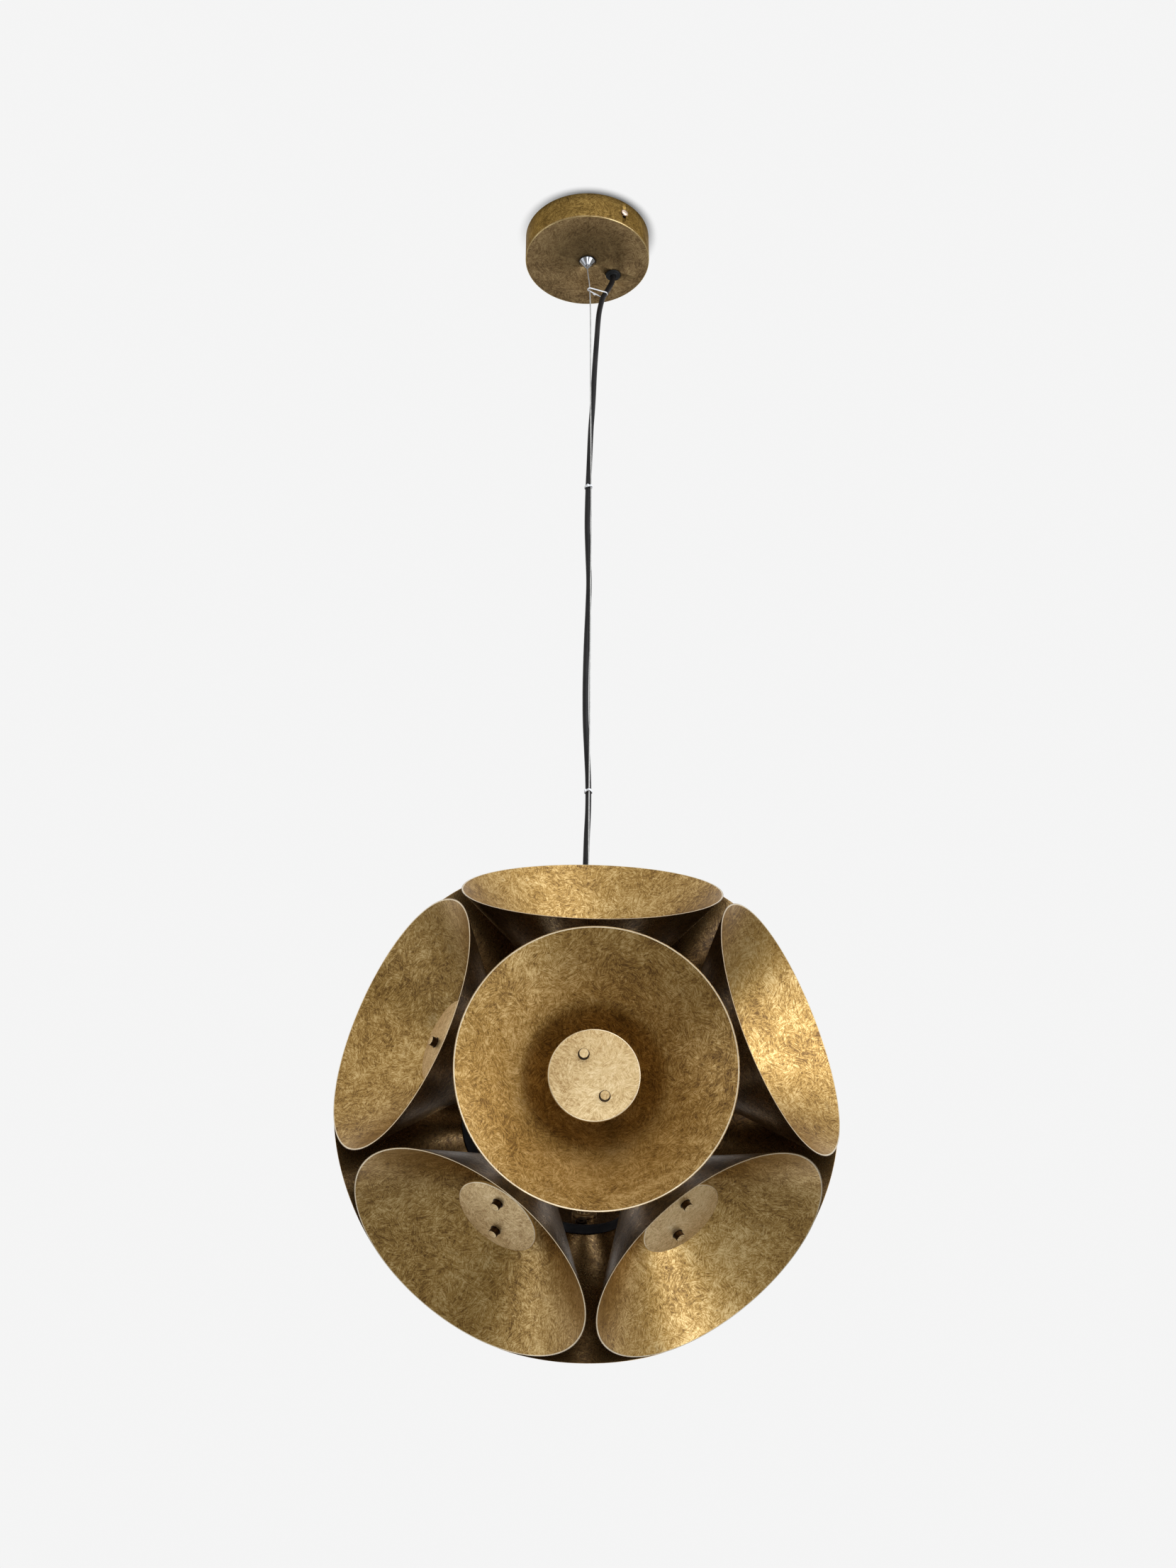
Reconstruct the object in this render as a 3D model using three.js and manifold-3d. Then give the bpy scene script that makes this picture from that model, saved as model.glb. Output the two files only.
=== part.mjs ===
// Pendant lamp: twelve brass cones stand out of a hub in the twelve directions of an icosahedron.
// The hub hangs on a steel wire from a gripper in a round ceiling canopy.
// Millimetres, +Z up. The origin is on the ceiling at the middle of the canopy, and the front cone faces -Y.
import * as THREE from 'three';
import { mergeVertices } from 'three/addons/utils/BufferGeometryUtils.js';
import Module from 'manifold-3d';

const wasm = await Module();
wasm.setup();

// Fits
const seatGap = 0.3; // between pieces that touch
const boltGap = 0.3; // round a shank in its hole
const sliver = 0.02; // slivers of a cut or a join below this size are taken out

// Facets round each turned form
const coneSides = 20;
const discSides = 16;
const moduleSides = 12;
const hubSides = 14;
const canopySides = 32;
const smallSides = 12;
const postSides = 6;
const cordSides = 6;

// The lamp as a whole
const ceilingToLamp = 1105; // from the ceiling down to the lamp's centre
const rimGap = 8; // between the rims of neighbouring cones

// Cone shade
const rimRadius = 122.7;
const neckRadius = 36.5;
const shadeDepth = 89.3; // from the flat bottom to the rim
const sheet = 1.2;
const lightHole = 14; // radius of the hole in the flat bottom

// Reflector disc on two posts
const discRadius = 41;
const discSheet = 1.4;
const discSetback = 48; // from the rim down to the disc's face
const discTurnedEdge = 2.6; // height of the edge that is turned back
const postRadius = 2;
const postSpacing = 41;
const postHeadRadius = 4.4;
const postHeadHeight = 5.5;
const postNutRadius = 5.7;
const postNutHeight = 2.4;

// Light module, the black cup that closes the neck
const moduleOverhang = 1.5; // how far the cup stands out round the neck
const modulePlate = 4;
const moduleSkirt = 4.5;
const moduleWall = 2.5;
const emitterClearance = 2; // radial, inside the light hole
const emitterHeight = 5;

// Hub and arms
const hubRadius = 40;
const hubWall = 3;
const armRadius = 6.5;
const armBore = 4.5;
const flangeRadius = 12;
const flangeThickness = 2.6;
const spigotHeight = 3;
const spigotWall = 2;
const hubLandTop = 42; // height of the flat top above the hub's centre
const hubLandUnder = 32; // height of the flat face under that top
const hubLandRadius = 16;
const bottomLand = 42; // depth of the flat underside below the hub's centre
const bottomLandUnder = 35;
const bottomLandRadius = 9;
const bridgeUnder = 3.6;
const bridgeThickness = 5;
const bridgeWidth = 12;
const boltRadius = 3;
const boltHeadRadius = 6.5;
const boltHeadHeight = 4;
const boltPastBridge = 1.5;

// Nipple, wire stop and splice
const nippleRadius = 11.5;
const nippleBore = 9.8;
const nippleAboveHub = 10;
const nippleFlangeRadius = 15;
const nippleFlange = 3;
const nippleNutRadius = 17;
const nippleNut = 5;
const stopRadius = 12.5;
const stopThickness = 2.5;
const crimpRadius = 2.2;
const crimpLength = 12;
const spliceRadius = 4.2;
const spliceLength = 10;

// Wire and cable
const wireRadius = 0.75;
const wireHole = 1.15; // radius of the holes that the wire runs through
const cableRadius = 3.2;
const tieWidth = 2.6;
const tieThickness = 1;
const tieSlack = 1.7; // round the cable where it runs aslant through the first tie

// Canopy and what it holds
const canopyTurn = 33.6; // degrees, from +X to the cable's outlet
const canopyRadius = 75;
const canopyHeight = 37;
const canopyWall = 1.5;
const canopyEdge = 2.2; // rounding of the lower edge
const plateInset = 13; // from the cup's edge to the plate's
const plateThickness = 2;
const earWidth = 16;
const earThickness = 2;
const earBelowScrew = 6;
const screwDepth = 18.5; // of the side screws below the ceiling
const screwRadius = 2;
const screwHeadRadius = 4.6;
const screwHeadHeight = 2.6;
const screwLength = 11;
const screwSlot = 1; // width
const keyholeOffset = 40;
const keyholeHead = 4.3; // radius of the round end that a screw's head passes through
const keyholeSlot = 2.2; // half the width of the slot
const keyholeReach = [-4, 5]; // from the middle to the slot's end and to the round end
const supplyHoleOffset = 20;
const supplyHoleRadius = 6.5;
const outletOffset = 38.9; // from the wire to the cable's outlet
const grommetRadius = 9.25;
const grommetNeck = 6.7;
const grommetLip = 3;
const grommetBore = 3.5;
const blockSize = [14, 28, 12]; // terminal block, along, across and down
const wellRadius = 1.5;
const wellDepth = 4;
const driverSize = [30, 62, 20];
const driverOffset = -38;

// Gripper
const studRadius = 5;
const studAbove = 16; // how far the stud stands up in the canopy
const coneTop = 9.35;
const coneTip = 3.6;
const coneHeight = 7.2;
const gripperNutRadius = 9;
const gripperNut = 5;
const sleeveRadius = 2.05;
const sleeveCollar = 3.1;
const sleeveCollarHeight = 3;
const sleeveStroke = 2.4;
const sleeveBelowCone = 2.7;

// Where the wire and the cable run: the points were chosen by hand for one drop, with the wire bowed out a
// little and the cable behind it; any other drop stretches the middle
const stretched = [120, 1000]; // depths between which the runs stretch
const wireEndAbove = 15; // from the lamp's centre up to the wire's end
const drawnWire = [
  [0, 0, -47.5], [0.6, 0, -56], [2.4, 0, -72], [3.2, 0, -92], [3.8, 0, -117], [3.9, 0, -226], [4.1, 0, -330],
  [4.2, 0, -430], [3.7, 0, -506], [3.2, 0, -580], [2.5, 0, -687], [1.8, 0, -788], [1.1, 0, -890],
  [0.4, 0, -1000], [0, 0, -1050], [0, 0, -1070], [0, 0, -1090],
];
const drawnCable = [
  [22, 13.2, -76.5], [19.5, 11.6, -83], [16.6, 9.8, -97], [14.2, 8.3, -114], [11.3, 6.4, -158],
  [8.8, 4.9, -202], [7, 4.2, -245], [5.9, 4, -266], [4.6, 4.3, -287], [3.7, 4.3, -308], [2.3, 3.8, -348],
  [1.1, 3, -380], [0.2, 1.8, -430], [1.1, 3.2, -467], [2.1, 4, -504], [1.2, 3.7, -541], [-0.2, 2.7, -578],
  [-1.3, 1.3, -616], [-1.8, 0.9, -652], [-1.5, 1.6, -686], [-0.1, 3.6, -719], [1.2, 4.3, -753],
  [1.2, 4.3, -786], [-0.2, 3.9, -820], [-1.1, 3.5, -850], [-2.3, 3.1, -890], [-3.5, 2.4, -950],
  [-4.7, 1.2, -1005], [-5.6, 0.2, -1045], [-5.7, 0, -1062], [-5.7, 0, -1072], [-6.4, 0, -1078], [-6.7, 0, -1083.5],
];
const drawnTies = [81.6, 376, 767]; // depths
const upperCablePoints = [ // in the canopy's own turned frame
  [38.9, 0, -14.6], [38.9, 0, -26], [38.9, 0, -34], [38.9, 0, -42], [36.8, -0.1, -51], [31.8, -0.6, -63],
  [25.6, -1.2, -76],
];
const tailPoints = [[0, 0, -47.2], [0, 0, -34], [0, 0, -20], [0, 4, -13], [0, 13, -9.5], [2, 22, -9]];

// How far each disc's pair of posts is turned about its cone's axis, in degrees
const postTurns = [20, 95, 150, 60, 80, 165, 117, 45, 10, 137, 100, 33];

// Sizes that follow
const stretch = drawnWire.at(-1)[2] + ceilingToLamp - wireEndAbove; // nothing for the drawn drop
function hung([x, y, z]) {
  const share = THREE.MathUtils.clamp((-z - stretched[0]) / (stretched[1] - stretched[0]), 0, 1);
  return [x, y, z - stretch * share];
}
const wirePoints = drawnWire.map(hung);
const cablePoints = drawnCable.map(hung);
const tieDepths = drawnTies.map((depth) => -hung([0, 0, -depth])[2]);
const halfStep = Math.atan(2) / 2; // half the angle between neighbouring axes of an icosahedron
const steepTilt = Math.atan(3 - Math.sqrt(5)); // from the pole to the nearest axes
const flatTilt = Math.atan(3 + Math.sqrt(5)); // from the pole to the next ring
const rimHeight = (rimGap / 2 + rimRadius * Math.cos(halfStep)) / Math.sin(halfStep);
const neckHeight = rimHeight - shadeDepth;
const discFace = rimHeight - discSetback;
const moduleFace = neckHeight - seatGap;
const moduleBack = moduleFace - modulePlate;
const moduleRadius = neckRadius + moduleOverhang;
const flangeFace = moduleBack - seatGap;
const holeFor = (radius) => radius + boltGap;
const plateRadius = canopyRadius - plateInset;

// Materials
const paint = (color, roughness, metalness) => new THREE.MeshStandardMaterial({ color, roughness, metalness });
const patina = paint(0x8a6232, 0.42, 0.9);
const leaf = paint(0xb99a62, 0.4, 0.9);
const brass = paint(0xa98346, 0.35, 1);
const chrome = paint(0xd8d8d8, 0.12, 1);
const steel = paint(0xa9abad, 0.35, 1);
const black = paint(0x17161a, 0.55, 0);
const rubber = paint(0x121212, 0.8, 0);
const white = paint(0xe6e6e2, 0.5, 0);

// Merged, closed triangles without the slivers at a pole
function weld(geometry) {
  geometry.deleteAttribute('normal');
  geometry.deleteAttribute('uv');
  const merged = mergeVertices(geometry);
  const corners = merged.getIndex().array;
  const kept = [];
  for (let i = 0; i < corners.length; i += 3) {
    const [a, b, c] = corners.slice(i, i + 3);
    if (a !== b && b !== c && c !== a) kept.push(a, b, c);
  }
  merged.setIndex(kept);
  return merged;
}

function solid(geometry) {
  const welded = weld(geometry);
  const vertProperties = new Float32Array(welded.getAttribute('position').array);
  const triVerts = new Uint32Array(welded.getIndex().array);
  return new wasm.Manifold(new wasm.Mesh({ numProp: 3, vertProperties, triVerts }));
}

function geometryOf(manifold) {
  const { vertProperties, triVerts } = manifold.asOriginal().simplify(sliver).getMesh();
  const geometry = new THREE.BufferGeometry();
  geometry.setAttribute('position', new THREE.BufferAttribute(new Float32Array(vertProperties), 3));
  geometry.setIndex(new THREE.BufferAttribute(new Uint32Array(triVerts), 1));
  return geometry;
}

const join = (first, ...others) => others.reduce((whole, other) => whole.add(other), first);
const cut = (first, ...others) => others.reduce((whole, other) => whole.subtract(other), first);

// Turns an outline of [radius, height] points about Z; one that misses the axis is closed on itself
function revolve(outline, sides) {
  const ring = outline[0][0] > 0;
  const closed = ring ? [...outline, outline[0]] : outline;
  const lathe = new THREE.LatheGeometry(closed.map(([r, z]) => new THREE.Vector2(r, z)), sides);
  return lathe.rotateX(Math.PI / 2);
}

const rod = (radius, from, to, sides) => revolve([[0, from], [radius, from], [radius, to], [0, to]], sides);

function box(x0, x1, y0, y1, z0, z1) {
  const block = new THREE.BoxGeometry(x1 - x0, y1 - y0, z1 - z0);
  return block.translate((x0 + x1) / 2, (y0 + y1) / 2, (z0 + z1) / 2);
}

// Points of a ball's outline from one height to another
function ballArc(radius, fromHeight, toHeight, steps) {
  const from = Math.asin(fromHeight / radius);
  const to = Math.asin(toHeight / radius);
  const angles = Array.from({ length: steps + 1 }, (_, i) => from + ((to - from) * i) / steps);
  return angles.map((a) => [radius * Math.cos(a), radius * Math.sin(a)]);
}

function tube(points, radius, sides, steps) {
  const path = new THREE.CatmullRomCurve3(points.map((p) => new THREE.Vector3(...p)), false, 'centripetal');
  const section = new THREE.Shape();
  section.absarc(0, 0, radius, 0, 2 * Math.PI);
  const round = new THREE.Shape(section.getPoints(sides / 2).slice(0, -1));
  return new THREE.ExtrudeGeometry(round, { steps, extrudePath: path });
}

// Round polygon as a shape, with its corners on the circle
function polygon(radius, sides, Kind = THREE.Shape) {
  const angles = Array.from({ length: sides }, (_, i) => (2 * Math.PI * i) / sides);
  return new Kind(angles.map((a) => new THREE.Vector2(radius * Math.cos(a), radius * Math.sin(a))));
}

function named(name, geometry, material) {
  const mesh = new THREE.Mesh(geometry.attributes.normal ? weld(geometry) : geometry, material);
  mesh.name = name;
  return mesh;
}

// The twelve axes, ring by ring from the top, each as an azimuth from -Y towards +X and a tilt from the pole
const rings = [
  [0, steepTilt], [60, flatTilt], [0, Math.PI - flatTilt], [60, Math.PI - steepTilt],
];
const axes = rings.flatMap(([start, tilt]) =>
  [0, 120, 240].map((step) => ({ azimuth: THREE.MathUtils.degToRad(start + step), tilt })));

// Local Z runs along the axis, and local X stays level
function axisFrame({ azimuth, tilt }) {
  const level = new THREE.Vector3(Math.cos(azimuth), Math.sin(azimuth), 0);
  const out = new THREE.Vector3(Math.sin(azimuth), -Math.cos(azimuth), 0);
  const along = out.multiplyScalar(Math.sin(tilt)).setZ(Math.cos(tilt));
  return new THREE.Matrix4().makeBasis(level, along.clone().cross(level), along);
}

// Post positions of one cone, in its own frame
function postPlaces(turn) {
  const angle = THREE.MathUtils.degToRad(turn);
  return [1, -1].map((side) => [Math.cos(angle), Math.sin(angle)].map((v) => (side * v * postSpacing) / 2));
}

// Cone
function shadeGeometry(turn) {
  const slope = (rimRadius - neckRadius) / shadeDepth;
  const wallAcross = sheet * Math.hypot(1, slope);
  const innerFoot = neckRadius + sheet * slope - wallAcross;
  const outline = [
    [lightHole, neckHeight], [neckRadius, neckHeight], [rimRadius, rimHeight],
    [rimRadius - wallAcross, rimHeight], [innerFoot, neckHeight + sheet], [lightHole, neckHeight + sheet],
  ];
  const holes = postPlaces(turn).map(([x, y]) =>
    solid(rod(holeFor(postRadius), neckHeight - 1, neckHeight + sheet + 1, postSides).translate(x, y, 0)));
  return geometryOf(cut(solid(revolve(outline, coneSides)), ...holes));
}

// Reflector disc with its two posts, their heads in front and their nuts behind the module
function discGeometry(turn) {
  const outline = [
    [0, discFace - discSheet], [discRadius - discSheet, discFace - discSheet],
    [discRadius - discSheet, discFace - discTurnedEdge], [discRadius, discFace - discTurnedEdge],
    [discRadius, discFace], [0, discFace],
  ];
  const nutTop = moduleBack - seatGap;
  const post = [
    [0, nutTop - postNutHeight], [postNutRadius, nutTop - postNutHeight], [postNutRadius, nutTop],
    [postRadius, nutTop], [postRadius, discFace - discSheet / 2], [postHeadRadius, discFace - discSheet / 2],
    [postHeadRadius, discFace + postHeadHeight], [0, discFace + postHeadHeight],
  ];
  const posts = postPlaces(turn).map(([x, y]) => solid(revolve(post, postSides).translate(x, y, 0)));
  return geometryOf(join(solid(revolve(outline, discSides)), ...posts));
}

// Black cup behind the neck, with the light source standing through the cone's hole
function moduleGeometry(turn) {
  const emitterRadius = lightHole - emitterClearance;
  const skirtEnd = moduleBack - moduleSkirt;
  const outline = [
    [0, moduleBack], [moduleRadius - moduleWall, moduleBack], [moduleRadius - moduleWall, skirtEnd],
    [moduleRadius, skirtEnd], [moduleRadius, moduleFace], [emitterRadius, moduleFace],
    [emitterRadius * 0.8, moduleFace + emitterHeight], [0, moduleFace + emitterHeight],
  ];
  const holes = postPlaces(turn).map(([x, y]) =>
    solid(rod(holeFor(postRadius), moduleBack - 1, moduleFace + 1, postSides).translate(x, y, 0)));
  return geometryOf(cut(solid(revolve(outline, moduleSides)), ...holes));
}

// One arm: a tube out of the hub with a flange under the module
function arm(axis) {
  const frame = axisFrame(axis);
  const root = hubRadius - (hubWall * 2) / 3;
  const pipe = solid(rod(armRadius, root, flangeFace - flangeThickness / 2, 8).applyMatrix4(frame));
  const flange = solid(rod(flangeRadius, flangeFace - flangeThickness, flangeFace, 8).applyMatrix4(frame));
  return join(pipe, flange);
}

const armHole = (axis) =>
  solid(rod(armBore, hubRadius - 3 * hubWall, flangeFace + 1, 6).applyMatrix4(axisFrame(axis)));

const hubInside = hubRadius - hubWall;
const seam = seatGap / 2;
const ballWidth = (radius, height) => Math.sqrt(radius * radius - height * height);

function hubUpperGeometry() {
  const shoulder = ballWidth(hubRadius, hubLandRadius);
  const shell = [
    [hubInside, seam], [hubRadius, seam], ...ballArc(hubRadius, seam, shoulder, 2).slice(1),
    [hubLandRadius, hubLandTop], [holeFor(nippleRadius), hubLandTop], [holeFor(nippleRadius), hubLandUnder],
    ...ballArc(hubInside, hubLandUnder, spigotHeight + seatGap, 2), [hubInside, spigotHeight + seatGap],
  ];
  const upward = axes.slice(0, 6);
  const bridgeEnd = ballWidth(hubRadius, bridgeUnder) - hubWall / 2;
  const bridge = solid(box(-bridgeEnd, bridgeEnd, -bridgeWidth / 2, bridgeWidth / 2,
    bridgeUnder, bridgeUnder + bridgeThickness));
  const whole = join(solid(revolve(shell, hubSides)), bridge, ...upward.map(arm));
  const below = solid(box(-2 * hubRadius, 2 * hubRadius, -2 * hubRadius, 2 * hubRadius, -hubRadius, seam));
  const boltHole = solid(rod(holeFor(boltRadius), seam, hubLandUnder, 8));
  return geometryOf(cut(whole, ...upward.map(armHole), boltHole, below));
}

function hubLowerGeometry() {
  const spigotOuter = hubInside - seatGap;
  const spigotInner = spigotOuter - spigotWall;
  const spigotFoot = -ballWidth(hubInside, spigotInner);
  const shoulder = -ballWidth(hubRadius, bottomLandRadius);
  const shell = [
    [spigotOuter, -seam], [spigotOuter, spigotHeight], [spigotInner, spigotHeight], [spigotInner, spigotFoot],
    ...ballArc(hubInside, spigotFoot, -bottomLandUnder, 2).slice(1),
    [holeFor(boltRadius), -bottomLandUnder], [holeFor(boltRadius), -bottomLand], [bottomLandRadius, -bottomLand],
    ...ballArc(hubRadius, shoulder, -seam, 2),
  ];
  const downward = axes.slice(6);
  const ball = solid(revolve(shell, hubSides));
  const above = solid(box(-2 * hubRadius, 2 * hubRadius, -2 * hubRadius, 2 * hubRadius, -seam, hubRadius));
  const arms = downward.map((axis) => cut(arm(axis), above));
  return geometryOf(cut(join(ball, ...arms), ...downward.map(armHole)));
}

function hubBoltGeometry() {
  const headTop = -bottomLand - seatGap;
  const top = bridgeUnder + bridgeThickness + boltPastBridge;
  const head = solid(rod(boltHeadRadius, headTop - boltHeadHeight, headTop, 6));
  return geometryOf(join(head, solid(rod(boltRadius, headTop - boltHeadHeight / 2, top, 8))));
}

const nippleFoot = hubLandUnder - seatGap - nippleFlange;
const stopTop = nippleFoot - seatGap;

function nippleGeometry() {
  return revolve([
    [nippleBore, nippleFoot], [nippleFlangeRadius, nippleFoot], [nippleFlangeRadius, nippleFoot + nippleFlange],
    [nippleRadius, nippleFoot + nippleFlange], [nippleRadius, hubLandTop + nippleAboveHub],
    [nippleBore, hubLandTop + nippleAboveHub],
  ], smallSides);
}

function nutGeometry(across, hole, from, height) {
  const nut = solid(rod(across, from, from + height, 6));
  return geometryOf(cut(nut, solid(rod(holeFor(hole), from - 1, from + height + 1, smallSides))));
}

// The stop lies under the nipple's flange; the cable passes through its notch
function wireStopGeometry() {
  const [cableX, cableY] = cablePoints.at(-3);
  const room = holeFor(cableRadius);
  const plate = solid(rod(stopRadius, stopTop - stopThickness, stopTop, smallSides));
  const crimp = solid(rod(crimpRadius, stopTop - stopThickness - crimpLength, stopTop - stopThickness / 2, 8));
  const slot = solid(box(cableX - stopRadius, cableX, cableY - room, cableY + room, -hubRadius, hubRadius));
  const slotEnd = solid(rod(room, -hubRadius, hubRadius, smallSides).translate(cableX, cableY, 0));
  const wireWay = solid(rod(wireHole, -hubRadius, hubRadius, 8));
  return geometryOf(cut(join(plate, crimp), slot, slotEnd, wireWay));
}

function spliceGeometry() {
  const [x, y, z] = cablePoints.at(-1);
  const top = z - seatGap;
  const outline = [
    [0, top - spliceLength], [spliceRadius * 0.75, top - spliceLength], [spliceRadius, top - spliceLength + 1.5],
    [spliceRadius, top], [0, top],
  ];
  return revolve(outline, smallSides).translate(x, y, 0);
}

// A strap drawn tight round the wire and the cable
function tieGeometry(depth) {
  const at = (points) => {
    const curve = new THREE.CatmullRomCurve3(points.map((p) => new THREE.Vector3(...p)), false, 'centripetal');
    const samples = curve.getPoints(1200);
    return samples.reduce((best, p) => (Math.abs(p.z + depth) < Math.abs(best.z + depth) ? p : best));
  };
  const wire = at(wirePoints);
  const cable = at(cablePoints);
  const reach = Math.hypot(cable.x - wire.x, cable.y - wire.y);
  const lean = reach > 4 * cableRadius ? tieSlack : seatGap;
  const loop = (Kind, grown) => {
    const [small, large] = [wireRadius + lean + grown, cableRadius + lean + grown];
    const turn = Math.acos((small - large) / reach);
    const path = new Kind();
    path.absarc(reach, 0, large, -turn, turn);
    path.absarc(0, 0, small, turn, 2 * Math.PI - turn);
    return path;
  };
  const outline = loop(THREE.Shape, tieThickness);
  outline.holes.push(loop(THREE.Path, 0));
  const band = new THREE.ExtrudeGeometry(outline, { depth: tieWidth, bevelEnabled: false, curveSegments: 5 });
  band.rotateZ(Math.atan2(cable.y - wire.y, cable.x - wire.x));
  return band.translate(wire.x, wire.y, -depth - tieWidth / 2);
}

// Canopy cup with its holes
const canopyFloor = -canopyHeight + canopyWall;
const canopyInside = canopyRadius - canopyWall;

function canopyGeometry() {
  const edge = [1, 2, 3].map((i) => {
    const a = (i * Math.PI) / 6;
    return [canopyRadius - canopyEdge * (1 - Math.sin(a)), -canopyHeight + canopyEdge * (1 - Math.cos(a))];
  });
  const cup = [
    [0, -canopyHeight], [canopyRadius - canopyEdge, -canopyHeight], ...edge, [canopyRadius, 0],
    [canopyInside, 0], [canopyInside, canopyFloor], [0, canopyFloor],
  ];
  const through = (radius) => rod(holeFor(radius), -canopyHeight - 1, canopyFloor + 1, smallSides);
  const screwWay = rod(holeFor(screwRadius), -canopyRadius - 1, canopyRadius + 1, 8).rotateX(Math.PI / 2);
  return geometryOf(cut(solid(revolve(cup, canopySides)), solid(through(studRadius)),
    solid(through(grommetNeck).translate(outletOffset, 0, 0)),
    solid(screwWay.translate(0, 0, -screwDepth))));
}

function ceilingPlateGeometry() {
  const round = new THREE.ExtrudeGeometry(polygon(plateRadius, 24), { depth: plateThickness, bevelEnabled: false });
  const facetInside = canopyInside * Math.cos(Math.PI / canopySides);
  const earFace = ballWidth(facetInside, earWidth / 2) - seatGap;
  const half = earWidth / 2;
  const ears = [1, -1].map((side) => {
    const tab = box(-half, half, plateRadius - half, earFace, -plateThickness, 0);
    const leg = box(-half, half, earFace - earThickness, earFace, -screwDepth - earBelowScrew, 0);
    const bent = join(solid(tab), solid(leg));
    return side > 0 ? bent : join(solid(tab.rotateZ(Math.PI)), solid(leg.rotateZ(Math.PI)));
  });
  const tall = (radius, x, y) => solid(rod(radius, -plateThickness - 1, 1, 8).translate(x, y, 0));
  const [slotEnd, headEnd] = keyholeReach;
  const keyholes = [1, -1].map((side) => side * keyholeOffset).flatMap((y) => [
    tall(keyholeHead, headEnd, y), tall(keyholeSlot, slotEnd, y),
    solid(box(slotEnd, headEnd, y - keyholeSlot, y + keyholeSlot, -plateThickness - 1, 1)),
  ]);
  const screwWay = rod(holeFor(screwRadius), -canopyRadius, canopyRadius, 8).rotateX(Math.PI / 2);
  return geometryOf(cut(join(solid(round.translate(0, 0, -plateThickness)), ...ears), ...keyholes,
    tall(supplyHoleRadius, supplyHoleOffset, 0), solid(screwWay.translate(0, 0, -screwDepth))));
}

function canopyScrewGeometry(side) {
  const under = canopyRadius + seatGap;
  const outline = [
    [0, under - screwLength - canopyWall], [screwRadius, under - screwLength - canopyWall], [screwRadius, under],
    [screwHeadRadius, under], [screwHeadRadius, under + screwHeadHeight / 2],
    [screwHeadRadius * 0.6, under + screwHeadHeight], [0, under + screwHeadHeight],
  ];
  const screw = solid(revolve(outline, 10));
  const slot = solid(box(-screwHeadRadius, screwHeadRadius, -screwSlot / 2, screwSlot / 2,
    under + screwHeadHeight / 2, under + screwHeadHeight + 1));
  const cutScrew = geometryOf(cut(screw, slot));
  cutScrew.rotateX(side > 0 ? -Math.PI / 2 : Math.PI / 2);
  return cutScrew.translate(0, 0, -screwDepth);
}

function terminalBlockGeometry() {
  const [along, across, down] = blockSize;
  const top = -plateThickness - seatGap;
  const body = solid(box(outletOffset - along / 2, outletOffset + along / 2, -across / 2, across / 2, top - down, top));
  const wells = [-1, 0, 1].map((i) =>
    solid(rod(wellRadius, top - down - 1, top - down + wellDepth, 8).translate(
      outletOffset - along / 2 + 2 * wellRadius, (i * across) / 3, 0)));
  return geometryOf(cut(body, ...wells));
}

function driverGeometry() {
  const [along, across, down] = driverSize;
  const corner = 4;
  const outline = new THREE.Shape();
  const [x, y] = [along / 2, across / 2];
  outline.moveTo(x, y - corner).absarc(x - corner, y - corner, corner, 0, Math.PI / 2);
  outline.absarc(-x + corner, y - corner, corner, Math.PI / 2, Math.PI);
  outline.absarc(-x + corner, -y + corner, corner, Math.PI, 1.5 * Math.PI);
  outline.absarc(x - corner, -y + corner, corner, 1.5 * Math.PI, 2 * Math.PI);
  const caseShape = new THREE.ExtrudeGeometry(outline, { depth: down, bevelEnabled: false, curveSegments: 3 });
  return caseShape.translate(driverOffset, 0, -plateThickness - seatGap - down);
}

// Gripper: a cone under the cup and a stud through it, bored for the wire and hollowed for the sleeve's collar
const coneFace = -canopyHeight - seatGap;
const coneEnd = coneFace - coneHeight;
const nozzleTip = coneEnd - sleeveBelowCone;
const chamberFoot = coneEnd + coneHeight * 0.6;
const chamberTop = chamberFoot + sleeveCollarHeight + sleeveStroke + 2 * seatGap;

function gripperGeometry() {
  return revolve([
    [holeFor(sleeveRadius), coneEnd], [coneTip, coneEnd], [coneTop, coneFace - 0.8], [coneTop, coneFace],
    [studRadius, coneFace], [studRadius, -canopyHeight + studAbove], [wireHole, -canopyHeight + studAbove],
    [wireHole, chamberTop], [holeFor(sleeveCollar), chamberTop], [holeFor(sleeveCollar), chamberFoot],
    [holeFor(sleeveRadius), chamberFoot],
  ], 16);
}

function sleeveGeometry() {
  const collarFoot = chamberFoot + seatGap;
  return revolve([
    [wireHole, nozzleTip], [sleeveRadius * 0.85, nozzleTip], [sleeveRadius, nozzleTip + 0.4],
    [sleeveRadius, collarFoot], [sleeveCollar, collarFoot], [sleeveCollar, collarFoot + sleeveCollarHeight],
    [wireHole, collarFoot + sleeveCollarHeight],
  ], 10);
}

function grommetGeometry() {
  const lipTop = -canopyHeight - seatGap;
  const upperLip = canopyFloor + seatGap;
  return revolve([
    [grommetBore, lipTop - grommetLip], [grommetRadius * 0.8, lipTop - grommetLip],
    [grommetRadius, lipTop - grommetLip * 0.6], [grommetRadius, lipTop], [grommetNeck, lipTop],
    [grommetNeck, upperLip], [grommetRadius * 0.9, upperLip], [grommetRadius * 0.8, upperLip + grommetLip],
    [grommetBore, upperLip + grommetLip],
  ], smallSides).translate(outletOffset, 0, 0);
}

// Assembly
const pendant = new THREE.Group();

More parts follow.
